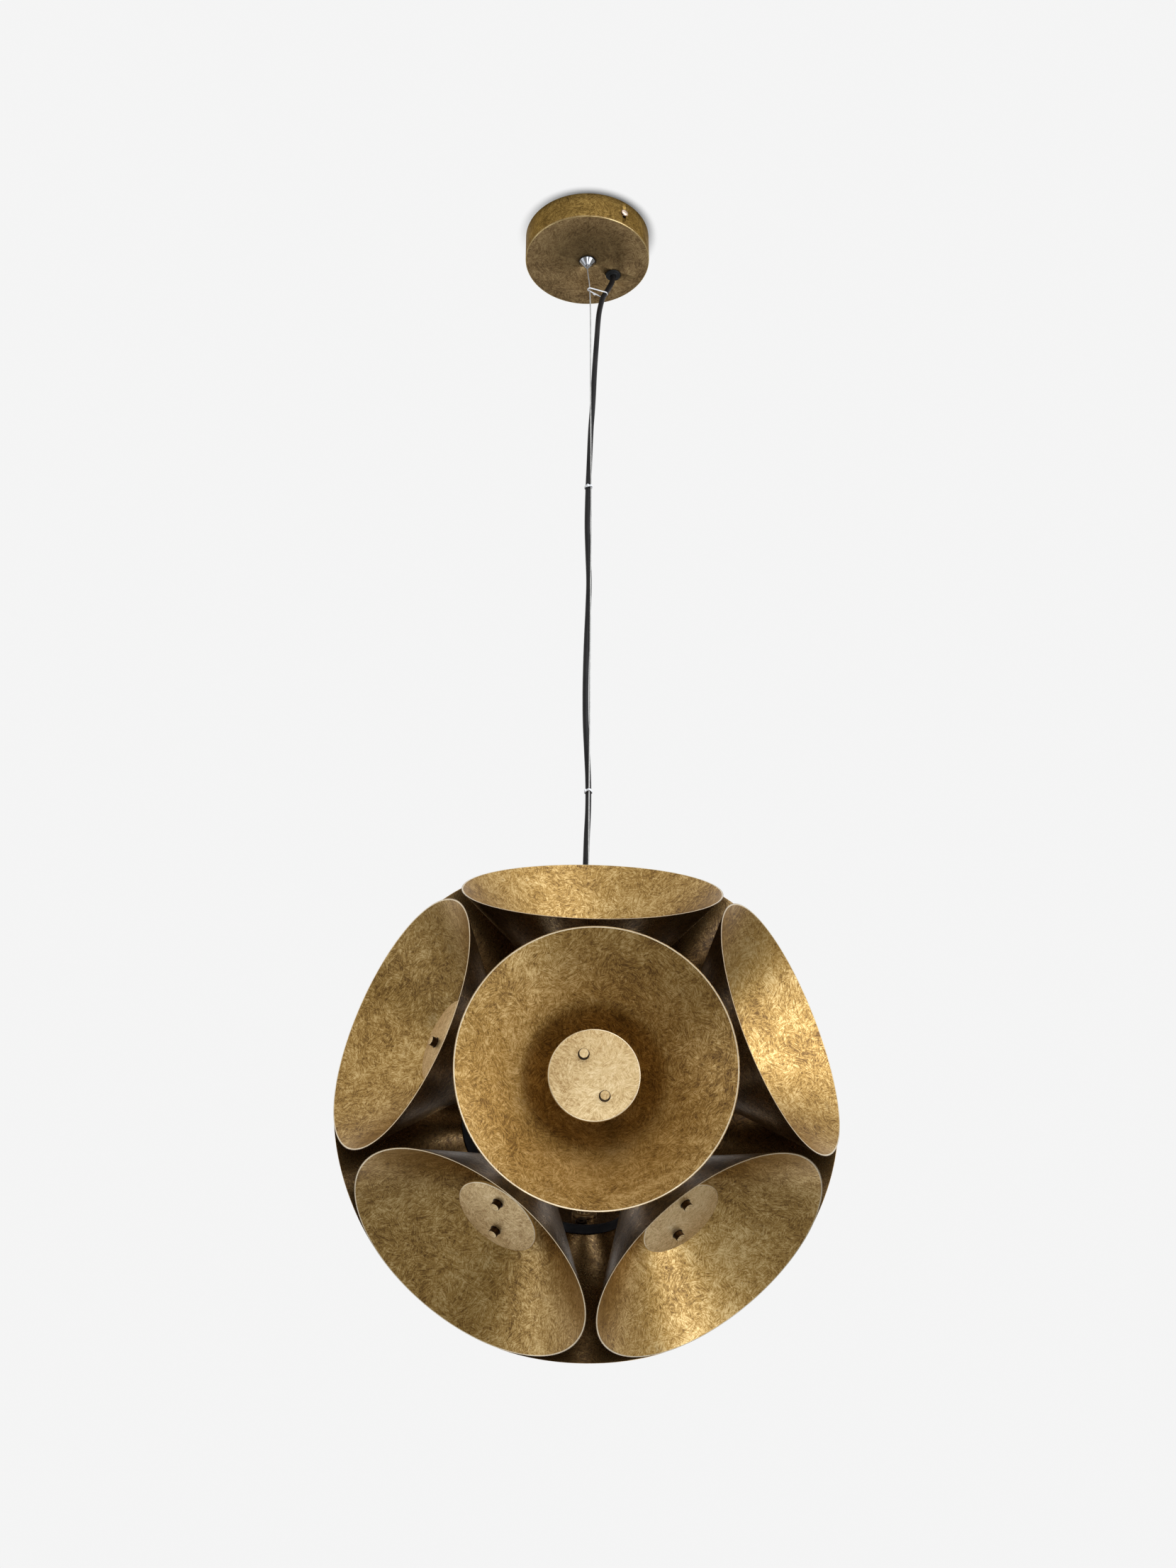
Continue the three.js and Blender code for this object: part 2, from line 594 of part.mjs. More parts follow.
const canopy = new THREE.Group();
canopy.rotation.z = THREE.MathUtils.degToRad(canopyTurn);
canopy.add(
  named('canopy_cup', canopyGeometry(), patina),
  named('ceiling_plate', ceilingPlateGeometry(), steel),
  named('canopy_screw_1', canopyScrewGeometry(-1), brass),
  named('canopy_screw_2', canopyScrewGeometry(1), brass),
  named('terminal_block', terminalBlockGeometry(), white),
  named('led_driver', driverGeometry(), white),
  named('wire_gripper', gripperGeometry(), chrome),
  named('gripper_sleeve', sleeveGeometry(), chrome),
  named('gripper_nut', nutGeometry(gripperNutRadius, studRadius, canopyFloor + seatGap, gripperNut), steel),
  named('cable_grommet', grommetGeometry(), rubber),
  named('power_cable_upper', tube(upperCablePoints, cableRadius, cordSides, 12), black),
  named('wire_tail', tube(tailPoints, wireRadius, cordSides, 9), steel),
);
pendant.add(canopy);

pendant.add(
  named('steel_wire', tube(wirePoints, wireRadius, cordSides, 18), steel),
  named('power_cable', tube(cablePoints, cableRadius, cordSides, 30), black),
  ...tieDepths.map((depth, i) => named(`cable_tie_${i + 1}`, tieGeometry(depth), white)),
  named('cable_splice', spliceGeometry(), white),
);

const lamp = new THREE.Group();
lamp.position.z = -ceilingToLamp;
lamp.add(
  named('hub_upper', hubUpperGeometry(), brass),
  named('hub_lower', hubLowerGeometry(), brass),
  named('hub_bolt', hubBoltGeometry(), steel),
  named('hanger_nipple', nippleGeometry(), brass),
  named('nipple_nut', nutGeometry(nippleNutRadius, nippleRadius, hubLandTop + seatGap, nippleNut), brass),
  named('wire_stop', wireStopGeometry(), steel),
);
axes.forEach((axis, i) => {
  const number = String(i + 1).padStart(2, '0');
  const branch = new THREE.Group();
  branch.applyMatrix4(axisFrame(axis));
  branch.add(
    named(`shade_${number}`, shadeGeometry(postTurns[i]), patina),
    named(`disc_${number}`, discGeometry(postTurns[i]), leaf),
    named(`led_module_${number}`, moduleGeometry(postTurns[i]), black),
  );
  lamp.add(branch);
});
pendant.add(lamp);

export default pendant;
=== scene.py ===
"""Pendant lamp: a ball of twelve brass cones on a wire and a cable under a round ceiling canopy."""
import math

import bmesh
import bpy
import numpy as np
from mathutils import Matrix, Vector


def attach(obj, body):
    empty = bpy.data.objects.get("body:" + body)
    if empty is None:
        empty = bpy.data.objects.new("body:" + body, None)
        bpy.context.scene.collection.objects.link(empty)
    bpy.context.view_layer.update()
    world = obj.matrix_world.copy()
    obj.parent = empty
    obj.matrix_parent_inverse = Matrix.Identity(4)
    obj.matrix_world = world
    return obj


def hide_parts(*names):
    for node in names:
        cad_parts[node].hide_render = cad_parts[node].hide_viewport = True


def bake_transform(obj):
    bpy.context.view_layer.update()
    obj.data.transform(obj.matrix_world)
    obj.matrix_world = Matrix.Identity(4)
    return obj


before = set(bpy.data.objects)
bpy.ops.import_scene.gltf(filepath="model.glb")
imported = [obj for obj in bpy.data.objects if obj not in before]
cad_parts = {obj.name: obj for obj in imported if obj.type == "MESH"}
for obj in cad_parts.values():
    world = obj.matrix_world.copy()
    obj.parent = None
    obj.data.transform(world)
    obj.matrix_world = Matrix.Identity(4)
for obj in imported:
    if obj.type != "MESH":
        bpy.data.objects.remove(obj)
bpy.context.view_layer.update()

MM = 0.001

# Fits, in millimetres like all sizes of the object
SEAT_GAP = 0.3  # between pieces that touch
PLAY = 0.15  # round a shank or a sliding piece in its hole

# The lamp as a whole
CEILING_TO_LAMP = 1105
RIM_GAP = 8  # between the rims of neighbouring cones

# Cone
RIM_RADIUS = 122.7
NECK_RADIUS = 36.5
SHADE_DEPTH = 89.3
SHEET = 1.2
LIGHT_HOLE = 14

# Reflector disc on two posts
DISC_RADIUS = 41
DISC_SHEET = 1.4
DISC_SETBACK = 48  # from the rim down to the disc's face
DISC_EDGE = 2.6
POST_RADIUS = 2
POST_SPACING = 41
POST_TURNS = [20, 95, 150, 60, 80, 165, 117, 45, 10, 137, 100, 33]  # degrees about each cone's axis
POST_END = 1  # past the nut
HEAD_RADIUS = 4.4
HEAD_HEIGHT = 5.5
NUT_RADIUS = 5.7
NUT_HEIGHT = 2.4
SHADE_RING_WIDTH = 0.8  # dark ring under the head, painted shade at the head's foot
SHADE_RING_EDGE = 0.25  # its height above the disc at its outer edge
SHADE_RING_TOP = 0.3  # and at the head

# Light module
MODULE_OVERHANG = 1.5
MODULE_PLATE = 4
MODULE_SKIRT = 4.5
MODULE_WALL = 2.5
EMITTER_CLEARANCE = 2
EMITTER_HEIGHT = 5
EMITTER_TAPER = 0.8  # of its top to its foot

# Hub, arms and nipple
HUB_RADIUS = 40
HUB_WALL = 3
ARM_RADIUS = 6.5
ARM_BORE = 4.5
FLANGE_RADIUS = 12
FLANGE = 2.6
SPIGOT_HEIGHT = 3
SPIGOT_WALL = 2
HUB_LAND_TOP = 42
HUB_LAND_UNDER = 32
HUB_LAND_RADIUS = 16
BOTTOM_LAND = 42
BOTTOM_LAND_UNDER = 35
BOTTOM_LAND_RADIUS = 9
BOLT_RADIUS = 3
NIPPLE_RADIUS = 11.5
NIPPLE_BORE = 9.8
NIPPLE_ABOVE_HUB = 10
NIPPLE_FLANGE_RADIUS = 15
NIPPLE_FLANGE = 3

# Wire, cable and ties
WIRE_RADIUS = 0.75
WIRE_HOLE = 1.15
WIRE_STRANDS = 6
STRAND_PITCH = 0.011  # metres for one turn of a strand
STRAND_DEPTH = 0.16  # of the grooves, as a share of the radius
CABLE_RADIUS = 3.2
CABLE_TWIST = 0.6  # metres for one turn of the two cores that show through the sheath
CORE_DEPTH = 0.03
TIE_THICKNESS = 0.9
TIE_BEVEL = 0.22
LOCK_LENGTH = 3.2
LOCK_DEPTH = 1.7
LOCK_STANDOFF = 0.5  # from the middle of the band's side
LOCK_PAST_BAND = 0.4
LOCK_ROUNDING = 0.4
TIES = [(81.6, 1.6, 1.2, -9), (376, 2.3, SEAT_GAP, 0), (767, 2.3, SEAT_GAP, 0)]  # depth, width, slack, tilt

# Canopy
CANOPY_TURN = math.radians(33.6)
CANOPY_RADIUS = 75
CANOPY_HEIGHT = 37
CANOPY_WALL = 1.5
CANOPY_ROUNDING = 1.5
BRIGHT_CORNER_REACH = 0.9  # of the bright stretch on the lower corner, wear and a painted highlight
WALL_SLACK = 0.01  # by which a point of the side may lie inside the radius
WALL_MARGIN = 0.5  # below the ceiling, where the side's darker copy of the patina starts, which paints shade
SCREW_DEPTH = 18.5
SCREW_RADIUS = 2
SCREW_HEAD = 4.6
SCREW_RIM = 0.7
SCREW_DOME = 2.6
SCREW_LENGTH = 11
SCREW_SLOT = 1  # width
SCREW_SLOT_FLOOR = 1.4  # above the head's underside, like the next
SLOT_CUTTER_TOP = 4
SLOT_CUTTER_HALF = 6
SCREW_SLOT_TURN = math.radians(40)
WALL_SLOT_HALF = 2.1  # half the width of the slot in the cup's wall below each screw
WALL_SLOT_DROP = 7.4  # from the screw's axis down to the slot's end
CUT_INTO_SIDE = 4  # how far the side's cutters reach inwards from the cup's outer face
CUT_PAST = 2  # how far all cutters reach past a face
OUTLET = 38.9

# Gripper and bush
STUD_RADIUS = 5
STUD_ABOVE = 16  # above the canopy's lower face
GRIPPER_TOP = 9.35
GRIPPER_TIP = 3.6
GRIPPER_HEIGHT = 7.2
GRIPPER_BAND = 0.8  # height of the straight band above the cone, the black washer that paints the shadow gap included
# Thin black washer: painted shadow in the gap between the cone and the canopy
SHADOW_WASHER_RADIUS = 10
SHADOW_WASHER = 0.35
CHAMBER_SHARE = 0.6  # of the cone's height below the sleeve's chamber
SLEEVE_RADIUS = 2.05
SLEEVE_COLLAR = 3.1
SLEEVE_COLLAR_HEIGHT = 3
SLEEVE_STROKE = 2.4
SLEEVE_BELOW_CONE = 2.7
GROMMET_RADIUS = 9.25
GROMMET_NECK = 6.7
GROMMET_BORE = 3.5
GROMMET_LIP = 3
NOSE_RADII = (6.1, 6.4)  # of the bush's lower end
NOSE_TOP = 1.9  # below the bush's seat under the canopy, like the next
GROMMET_EDGE = 1.8
EDGE_SHARE = 0.94  # of the radius, at the flange's lower edge
BARB_RADII = (8.3, 7.4)  # of the bush's upper lip, below and above

# Sizes that follow
HALF_STEP = math.atan(2) / 2
STEEP_TILT = math.atan(3 - math.sqrt(5))
FLAT_TILT = math.atan(3 + math.sqrt(5))
RIM_HEIGHT = (RIM_GAP / 2 + RIM_RADIUS * math.cos(HALF_STEP)) / math.sin(HALF_STEP)
NECK_HEIGHT = RIM_HEIGHT - SHADE_DEPTH
DISC_FACE = RIM_HEIGHT - DISC_SETBACK
MODULE_RADIUS = NECK_RADIUS + MODULE_OVERHANG
MODULE_FACE = NECK_HEIGHT - SEAT_GAP
MODULE_BACK = MODULE_FACE - MODULE_PLATE
FLANGE_FACE = MODULE_BACK - SEAT_GAP
HUB_INSIDE = HUB_RADIUS - HUB_WALL
SEAM = SEAT_GAP / 2
CANOPY_FLOOR = -CANOPY_HEIGHT + CANOPY_WALL
GRIPPER_FACE = -CANOPY_HEIGHT - SEAT_GAP
GRIPPER_END = GRIPPER_FACE - GRIPPER_HEIGHT
CHAMBER_FOOT = GRIPPER_END + GRIPPER_HEIGHT * CHAMBER_SHARE
CHAMBER_TOP = CHAMBER_FOOT + SLEEVE_COLLAR_HEIGHT + SLEEVE_STROKE + 2 * SEAT_GAP

canopy_frame = Matrix.Rotation(CANOPY_TURN, 4, "Z")
outlet_frame = canopy_frame @ Matrix.Translation((OUTLET * MM, 0, 0))
lamp_frame = Matrix.Translation((0, 0, -CEILING_TO_LAMP * MM))

# Camera, below the lamp and in front of it
CAMERA_PLACE = (-0.0710, -1.7712, -1.7265)
CAMERA_PITCH = 28.601  # degrees, like the turn
CAMERA_TURN = -2.3232
camera_data = bpy.data.cameras.new("camera")
camera_data.lens = 44.70
camera_data.sensor_width = 36
camera = bpy.data.objects.new("camera", camera_data)
camera.location = CAMERA_PLACE
camera.rotation_euler = (math.radians(90 + CAMERA_PITCH), 0, math.radians(CAMERA_TURN))
bpy.context.scene.collection.objects.link(camera)
bpy.context.scene.camera = camera

# Mesh tools
ON_AXIS = 1e-6  # millimetres
WELD = 5e-6  # metres; closer corners are merged after a cut
NEARLY_STRAIGHT = 0.15  # widening of a wall, as a share of its length, below which it unrolls as a cylinder
SPAN_STEPS = 24  # of a curve between two of its points


def rounded(corners, closed, steps=4):
    """Outline through (radius, height, fillet, material) corners; a material is that of the run after."""
    out = []
    count = len(corners)
    for i, (x, y, fillet, material) in enumerate(corners):
        here = Vector((x, y))
        if not fillet or not (closed or 0 < i < count - 1):
            out.append((x, y, material))
            continue
        before = Vector(corners[i - 1][:2]) - here
        after = Vector(corners[(i + 1) % count][:2]) - here
        reach = fillet / math.tan(before.angle(after) / 2)
        reach = min(reach, 0.48 * before.length, 0.48 * after.length)
        start = here + before.normalized() * reach
        end = here + after.normalized() * reach
        for k in range(steps + 1):
            t = k / steps
            p = start * (1 - t) ** 2 + here * (2 * t * (1 - t)) + end * t ** 2
            out.append((p.x, p.y, material if k == steps else out[-1][2] if out else material))
    return out


def mesh_object(name, verts, faces, materials, slots=None, uvs=None, matrix=None, sharp=35):
    """Object from plain lists, shaded smooth up to the sharp angle."""
    mesh = bpy.data.meshes.new(name)
    mesh.from_pydata([tuple(v) for v in verts], [], faces)
    for material in materials:
        mesh.materials.append(material)
    if slots is not None:
        mesh.polygons.foreach_set("material_index", slots)
    if uvs is not None:
        layer = mesh.uv_layers.new(name="unrolled")
        layer.data.foreach_set("uv", np.asarray(uvs, np.float32).ravel())
    mesh.validate()
    mesh.shade_smooth()
    mesh.set_sharp_from_angle(angle=math.radians(sharp))
    mesh.update()
    made = bpy.data.objects.new(name, mesh)
    bpy.context.scene.collection.objects.link(made)
    if matrix is not None:
        made.matrix_world = matrix
    return made


def unrolled(a, b, angle):
    """Flat places, in metres, of the two ends of an outline's run at an angle about the axis."""
    run = math.hypot(b[0] - a[0], b[1] - a[1])
    widening = abs(b[0] - a[0])
    if widening < NEARLY_STRAIGHT * run:
        reach = max(a[0], b[0]) * angle
        return [(reach * MM, a[1] * MM), (reach * MM, b[1] * MM)]
    stretch = run / widening
    turn = angle / stretch
    return [(p[0] * stretch * math.cos(turn) * MM, p[0] * stretch * math.sin(turn) * MM) for p in (a, b)]


def lathe(name, outline, sides, materials, closed=True, matrix=None, sharp=35):
    """Turned mesh about Z from an outline in millimetres; an open outline starts and ends on the axis."""
    verts, rings = [], []
    for r, z, _ in outline:
        if r < ON_AXIS:
            rings.append([len(verts)] * (sides + 1))
            verts.append((0, 0, z * MM))
            continue
        start = len(verts)
        for j in range(sides):
            a = 2 * math.pi * j / sides
            verts.append((r * math.cos(a) * MM, r * math.sin(a) * MM, z * MM))
        rings.append([start + j % sides for j in range(sides + 1)])
    count = len(outline)
    pairs = [(i, (i + 1) % count) for i in range(count if closed else count - 1)]
    area = sum(outline[i][0] * outline[k][1] - outline[k][0] * outline[i][1] for i, k in pairs)
    faces, slots, uvs = [], [], []
    for i, k in pairs:
        for j in range(sides):
            corners = [(rings[i][j], 0, j), (rings[i][j + 1], 0, j + 1),
                       (rings[k][j + 1], 1, j + 1), (rings[k][j], 1, j)]
            if area < 0:
                corners.reverse()
            kept = []
            for corner in corners:
                if corner[0] not in [c[0] for c in kept]:
                    kept.append(corner)
            if len(kept) < 3:
                continue
            faces.append([c[0] for c in kept])
            slots.append(outline[i][2])
            for _, end, side in kept:
                uvs.append(unrolled(outline[i], outline[k], 2 * math.pi * side / sides)[end])
    return mesh_object(name, verts, faces, materials, slots, uvs, matrix, sharp)


def pin(radius, low, high, matrix):
    """Plain round cutter along its own Z."""
    corners = [(0, low, 0, 0), (radius, low, 0, 0), (radius, high, 0, 0), (0, high, 0, 0)]
    return lathe("cutter", rounded(corners, closed=False), 32, [], closed=False, matrix=matrix)


def block(low, high, matrix):
    """Plain box between two corners in millimetres."""
    corners = [(x, y, z) for x in (low[0], high[0]) for y in (low[1], high[1]) for z in (low[2], high[2])]
    faces = [[0, 1, 3, 2], [4, 6, 7, 5], [0, 4, 5, 1], [2, 3, 7, 6], [0, 2, 6, 4], [1, 5, 7, 3]]
    return mesh_object("cutter", [Vector(c) * MM for c in corners], faces, [], matrix=matrix)


def joined(name, parts):
    """One object out of several, in the frame of the first."""
    bpy.ops.object.select_all(action="DESELECT")
    for part in parts:
        part.select_set(True)
    bpy.context.view_layer.objects.active = parts[0]
    bpy.ops.object.join()
    parts[0].name = name
    return parts[0]


def cut(piece, *cutters):
    """Takes the cutters out of the piece for good, applies its modifiers and merges slivers."""
    for cutter in cutters:
        modifier = piece.modifiers.new("cut", "BOOLEAN")
        modifier.object = cutter
        modifier.solver = "EXACT"
    graph = bpy.context.evaluated_depsgraph_get()
    final = bpy.data.meshes.new_from_object(piece.evaluated_get(graph))
    piece.modifiers.clear()
    work = bmesh.new()
    work.from_mesh(final)
    bmesh.ops.remove_doubles(work, verts=work.verts, dist=WELD)
    bmesh.ops.dissolve_degenerate(work, edges=work.edges, dist=WELD)
    work.to_mesh(final)
    work.free()
    piece.data = final
    for cutter in cutters:
        bpy.data.objects.remove(cutter)
    return piece


def smooth_path(points, step):
    """Centripetal Catmull-Rom curve through the points, resampled evenly; in the points' own unit."""
    p = [np.array(q, float) for q in points]
    p = [2 * p[0] - p[1], *p, 2 * p[-1] - p[-2]]
    fine = []
    for a, b, c, d in zip(p, p[1:], p[2:], p[3:]):
        t0 = 0.0
        t1 = t0 + math.sqrt(np.linalg.norm(b - a))
        t2 = t1 + math.sqrt(np.linalg.norm(c - b))
        t3 = t2 + math.sqrt(np.linalg.norm(d - c))
        for t in np.linspace(t1, t2, SPAN_STEPS, endpoint=False):
            ab = ((t1 - t) * a + (t - t0) * b) / (t1 - t0)
            bc = ((t2 - t) * b + (t - t1) * c) / (t2 - t1)
            cd = ((t3 - t) * c + (t - t2) * d) / (t3 - t2)
            abc = ((t2 - t) * ab + (t - t0) * bc) / (t2 - t0)
            bcd = ((t3 - t) * bc + (t - t1) * cd) / (t3 - t1)
            fine.append(((t2 - t) * abc + (t - t1) * bcd) / (t2 - t1))
    fine.append(p[-2])
    fine = np.array(fine)
    reach = np.concatenate([[0], np.cumsum(np.linalg.norm(np.diff(fine, axis=0), axis=1))])
    at = np.linspace(0, reach[-1], max(2, round(reach[-1] / step)) + 1)
    return np.column_stack([np.interp(at, reach, fine[:, i]) for i in range(3)])


def sweep(name, path, radius, material, lobes, depth, pitch, sides):
    """Tube along a path in metres; its round section has lobes that wind along it with the pitch."""
    steps = np.diff(path, axis=0)
    tangents = np.vstack([steps[:1], steps[:-1] + steps[1:], steps[-1:]])
    tangents /= np.linalg.norm(tangents, axis=1)[:, None]
    side = np.cross(tangents[0], [0.0, 1.0, 0.0])
    reach = np.concatenate([[0], np.cumsum(np.linalg.norm(steps, axis=1))])
    verts = []
    for point, tangent, along in zip(path, tangents, reach):
        side = side - tangent * (side @ tangent)
        side /= np.linalg.norm(side)
        other = np.cross(tangent, side)
        for j in range(sides):
            a = 2 * math.pi * j / sides
            wave = 1 - depth * (1 - math.cos(lobes * (a - 2 * math.pi * along / pitch))) / 2
            verts.append(point + radius * wave * (math.cos(a) * side + math.sin(a) * other))
    around = 2 * math.pi * radius / sides
    faces, uvs = [], []
    for i in range(len(path) - 1):
        for j in range(sides):
            k = (j + 1) % sides
            faces.append([i * sides + j, i * sides + k, (i + 1) * sides + k, (i + 1) * sides + j])
            uvs += [(j * around, reach[i]), ((j + 1) * around, reach[i]),
                    ((j + 1) * around, reach[i + 1]), (j * around, reach[i + 1])]
    last = (len(path) - 1) * sides
    faces += [list(range(sides))[::-1], [last + j for j in range(sides)]]
    uvs += [(0, 0)] * (2 * sides)
    return mesh_object(name, verts, faces, [material], None, uvs, None, 60)


# Material tools
def node(tree, kind, inputs=(), **settings):
    """Adds a node; inputs are (socket, value or output) pairs."""
    made = tree.nodes.new(kind)
    for key, value in settings.items():
        setattr(made, key, value)
    for socket, value in inputs:
        if isinstance(value, bpy.types.NodeSocket):
            tree.links.new(value, made.inputs[socket])
        else:
            made.inputs[socket].default_value = value
    return made


def noise(tree, vector, scale, detail, roughness, distortion=0.0):
    inputs = [("Vector", vector), ("Scale", scale), ("Detail", detail), ("Roughness", roughness),
              ("Distortion", distortion)]
    return node(tree, "ShaderNodeTexNoise", inputs).outputs["Fac"]


def ramp(tree, factor, low, high, low_value=0.0, high_value=1.0):
    """Maps a factor between low and high to a value, held at both ends."""
    inputs = [("Value", factor), ("From Min", low), ("From Max", high), ("To Min", low_value),
              ("To Max", high_value)]
    return node(tree, "ShaderNodeMapRange", inputs).outputs["Result"]


def blend_colours(tree, factor, a, b):
    return node(tree, "ShaderNodeMix", [(0, factor), (6, a), (7, b)], data_type="RGBA").outputs[2]


def combine(tree, operation, a, b):
    return node(tree, "ShaderNodeMath", [(0, a), (1, b)], operation=operation).outputs[0]


def vector_math(tree, operation, a, b):
    second = "Scale" if operation == "SCALE" else 1
    return node(tree, "ShaderNodeVectorMath", [(0, a), (second, b)], operation=operation).outputs[0]


def weighted(tree, *terms):
    """Sum of factors, each with its weight."""
    total = None
    for factor, weight in terms:
        part = combine(tree, "MULTIPLY", factor, weight)
        total = part if total is None else combine(tree, "ADD", total, part)
    return total


def opaque(colour):
    return (*colour, 1)


def ramp_colours(tree, factor, stops):
    """Colour ramp through (place, colour) stops."""
    made = node(tree, "ShaderNodeValToRGB", [(0, factor)])
    elements = made.color_ramp.elements
    elements[0].position, elements[0].color = stops[0]
    elements[1].position, elements[1].color = stops[-1]
    for place, colour in stops[1:-1]:
        elements.new(place).color = colour
    return made.outputs["Color"]


def new_material(name, **fixed):
    """Material with its principled shader, whose constant values are set on the shader's own sockets."""
    made = bpy.data.materials.new(name)
    made.use_nodes = True
    tree = made.node_tree
    shader = tree.nodes["Principled BSDF"]
    for key, value in fixed.items():
        shader.inputs[key.replace("_", " ")].default_value = value
    return made, tree, shader


def shifted(tree, vector, reach):
    """Coordinates moved by each object's own random number, so that copies of a piece differ."""
    random = node(tree, "ShaderNodeObjectInfo").outputs["Random"]
    return vector_math(tree, "ADD", vector, vector_math(tree, "SCALE", reach, random))


def object_coordinates(tree):
    return shifted(tree, node(tree, "ShaderNodeTexCoord").outputs["Object"], (7.3, 4.1, 9.7))


def unrolled_coordinates(tree):
    return shifted(tree, node(tree, "ShaderNodeUVMap", uv_map="unrolled").outputs["UV"], (3.1, 5.3, 0))


# Brushed strokes of the patina: size of a cell, length and width in metres, and a shift of the pattern
FINE_STROKES = (0.0065, 0.005, 0.0009, 0.0)
LONG_STROKES = (0.011, 0.009, 0.0013, 2.3)
BROAD_STROKES = (0.017, 0.014, 0.003, 5.9)


def strokes(tree, flat, cell, length, width, shift):
    """Short lines in random directions: each Voronoi cell turns a stretched noise its own way."""
    moved = vector_math(tree, "ADD", flat, (shift, shift * 1.7, 0))
    cells = node(tree, "ShaderNodeTexVoronoi", [("Vector", moved), ("Scale", 1 / cell), ("Randomness", 1.0)])
    tint = node(tree, "ShaderNodeSeparateColor", [(0, cells.outputs["Color"])])
    angle = combine(tree, "MULTIPLY", tint.outputs[0], 2 * math.pi)
    turned = node(tree, "ShaderNodeVectorRotate", [("Vector", moved), ("Angle", angle)],
                  rotation_type="Z_AXIS").outputs[0]
    drawn = vector_math(tree, "MULTIPLY", turned, (1 / length, 1 / width, 1))
    return ramp(tree, noise(tree, drawn, scale=1, detail=1, roughness=0.5, distortion=0.9), 0.38, 0.66)


def patina(name, dark, middle, light, rough, **fixed):
    """Antique brass: broad clouds, blotches, short brushed strokes and specks worn into one another."""
    made, tree, shader = new_material(name, Metallic=1.0, **fixed)
    dark, middle, light = opaque(dark), opaque(middle), opaque(light)
    place = object_coordinates(tree)
    flat = unrolled_coordinates(tree)
    clouds = ramp(tree, noise(tree, place, scale=14, detail=3, roughness=0.55, distortion=0.3), 0.3, 0.7)
    blotches = ramp(tree, noise(tree, place, scale=70, detail=5, roughness=0.65, distortion=0.4), 0.3, 0.7)
    flecks = ramp(tree, noise(tree, place, scale=330, detail=4, roughness=0.65, distortion=0.2), 0.3, 0.7)
    fine = strokes(tree, flat, *FINE_STROKES)
    long = strokes(tree, flat, *LONG_STROKES)
    broad = strokes(tree, flat, *BROAD_STROKES)
    wear = weighted(tree, (clouds, 0.2), (blotches, 0.19), (flecks, 0.12), (fine, 0.17), (long, 0.2),
                    (broad, 0.12))
    colour = ramp_colours(tree, wear, [(0.22, dark), (0.46, middle), (0.74, light)])
    smudge_noise = noise(tree, place, scale=38, detail=4, roughness=0.7, distortion=0.5)
    smudges = ramp(tree, smudge_noise, 0.6, 0.74, 0.0, 0.4)
    specks = ramp(tree, noise(tree, place, scale=260, detail=2, roughness=0.5), 0.68, 0.75, 0.0, 0.65)
    spots = combine(tree, "MAXIMUM", smudges, specks)
    tree.links.new(blend_colours(tree, spots, colour, dark), shader.inputs["Base Color"])
    tree.links.new(ramp(tree, wear, 0.3, 0.7, rough + 0.07, rough - 0.07), shader.inputs["Roughness"])
    relief = weighted(tree, (fine, 0.4), (long, 0.3), (flecks, 0.6), (spots, -0.8))
    bump = node(tree, "ShaderNodeBump", [("Height", relief), ("Strength", 0.12), ("Distance", 0.0003)])
    tree.links.new(bump.outputs[0], shader.inputs["Normal"])
    return made


def mottled(name, dark, light, rough, metal, clouds, grain, relief=0.05, **fixed):
    """Plain material with soft colour clouds, uneven gloss and a fine grain; both scales are per metre."""
    made, tree, shader = new_material(name, Metallic=metal, **fixed)
    place = object_coordinates(tree)
    soft = noise(tree, place, clouds, detail=4, roughness=0.6, distortion=0.3)
    fine = noise(tree, place, grain, detail=3, roughness=0.6)
    colour = blend_colours(tree, ramp(tree, soft, 0.3, 0.7), opaque(dark), opaque(light))
    colour = blend_colours(tree, ramp(tree, fine, 0.55, 0.75, 0.0, 0.3), colour, opaque(dark))
    tree.links.new(colour, shader.inputs["Base Color"])
    tree.links.new(ramp(tree, soft, 0.25, 0.75, rough * 1.2, rough * 0.85), shader.inputs["Roughness"])
    bump = node(tree, "ShaderNodeBump", [("Height", fine), ("Strength", relief), ("Distance", 0.0002)])
    tree.links.new(bump.outputs[0], shader.inputs["Normal"])
    return made


# Materials
inside_brass = patina(
    "patina inside", (0.118, 0.054, 0.008), (0.345, 0.2, 0.047), (0.65, 0.462, 0.2), 0.4,
    Coat_Weight=0.35, Coat_Roughness=0.3, Specular_Tint=(0.75, 0.66, 0.58, 1))
# The cones' outside: the same brass as inside, painted much darker to stand in for the shade between the
# cones
shaded_outside_brass = patina(
    "patina outside painted darker", (0.065, 0.032, 0.009), (0.22, 0.122, 0.037), (0.46, 0.3, 0.12), 0.31,
    Coat_Weight=0.5, Coat_Roughness=0.25)
leaf_brass = patina(
    "disc leaf", (0.37, 0.22, 0.08), (0.61, 0.43, 0.2), (0.8, 0.62, 0.35), 0.44,
    Coat_Weight=0.25, Coat_Roughness=0.35)
# Side of the canopy: the same brass as its face, painted darker and more golden to stand in for the dimmer
# light it shows
shaded_canopy_side = patina(
    "canopy side patina painted darker", (0.07, 0.038, 0.006), (0.2, 0.118, 0.028), (0.36, 0.24, 0.07), 0.42,
    Coat_Weight=0.1, Coat_Roughness=0.4, Specular_Tint=(0.6, 0.52, 0.42, 1))
canopy_brass = patina(
    "canopy patina", (0.12, 0.068, 0.022), (0.29, 0.183, 0.075), (0.47, 0.33, 0.15), 0.46,
    Coat_Weight=0.25, Coat_Roughness=0.4, Specular_Tint=(0.6, 0.52, 0.42, 1))
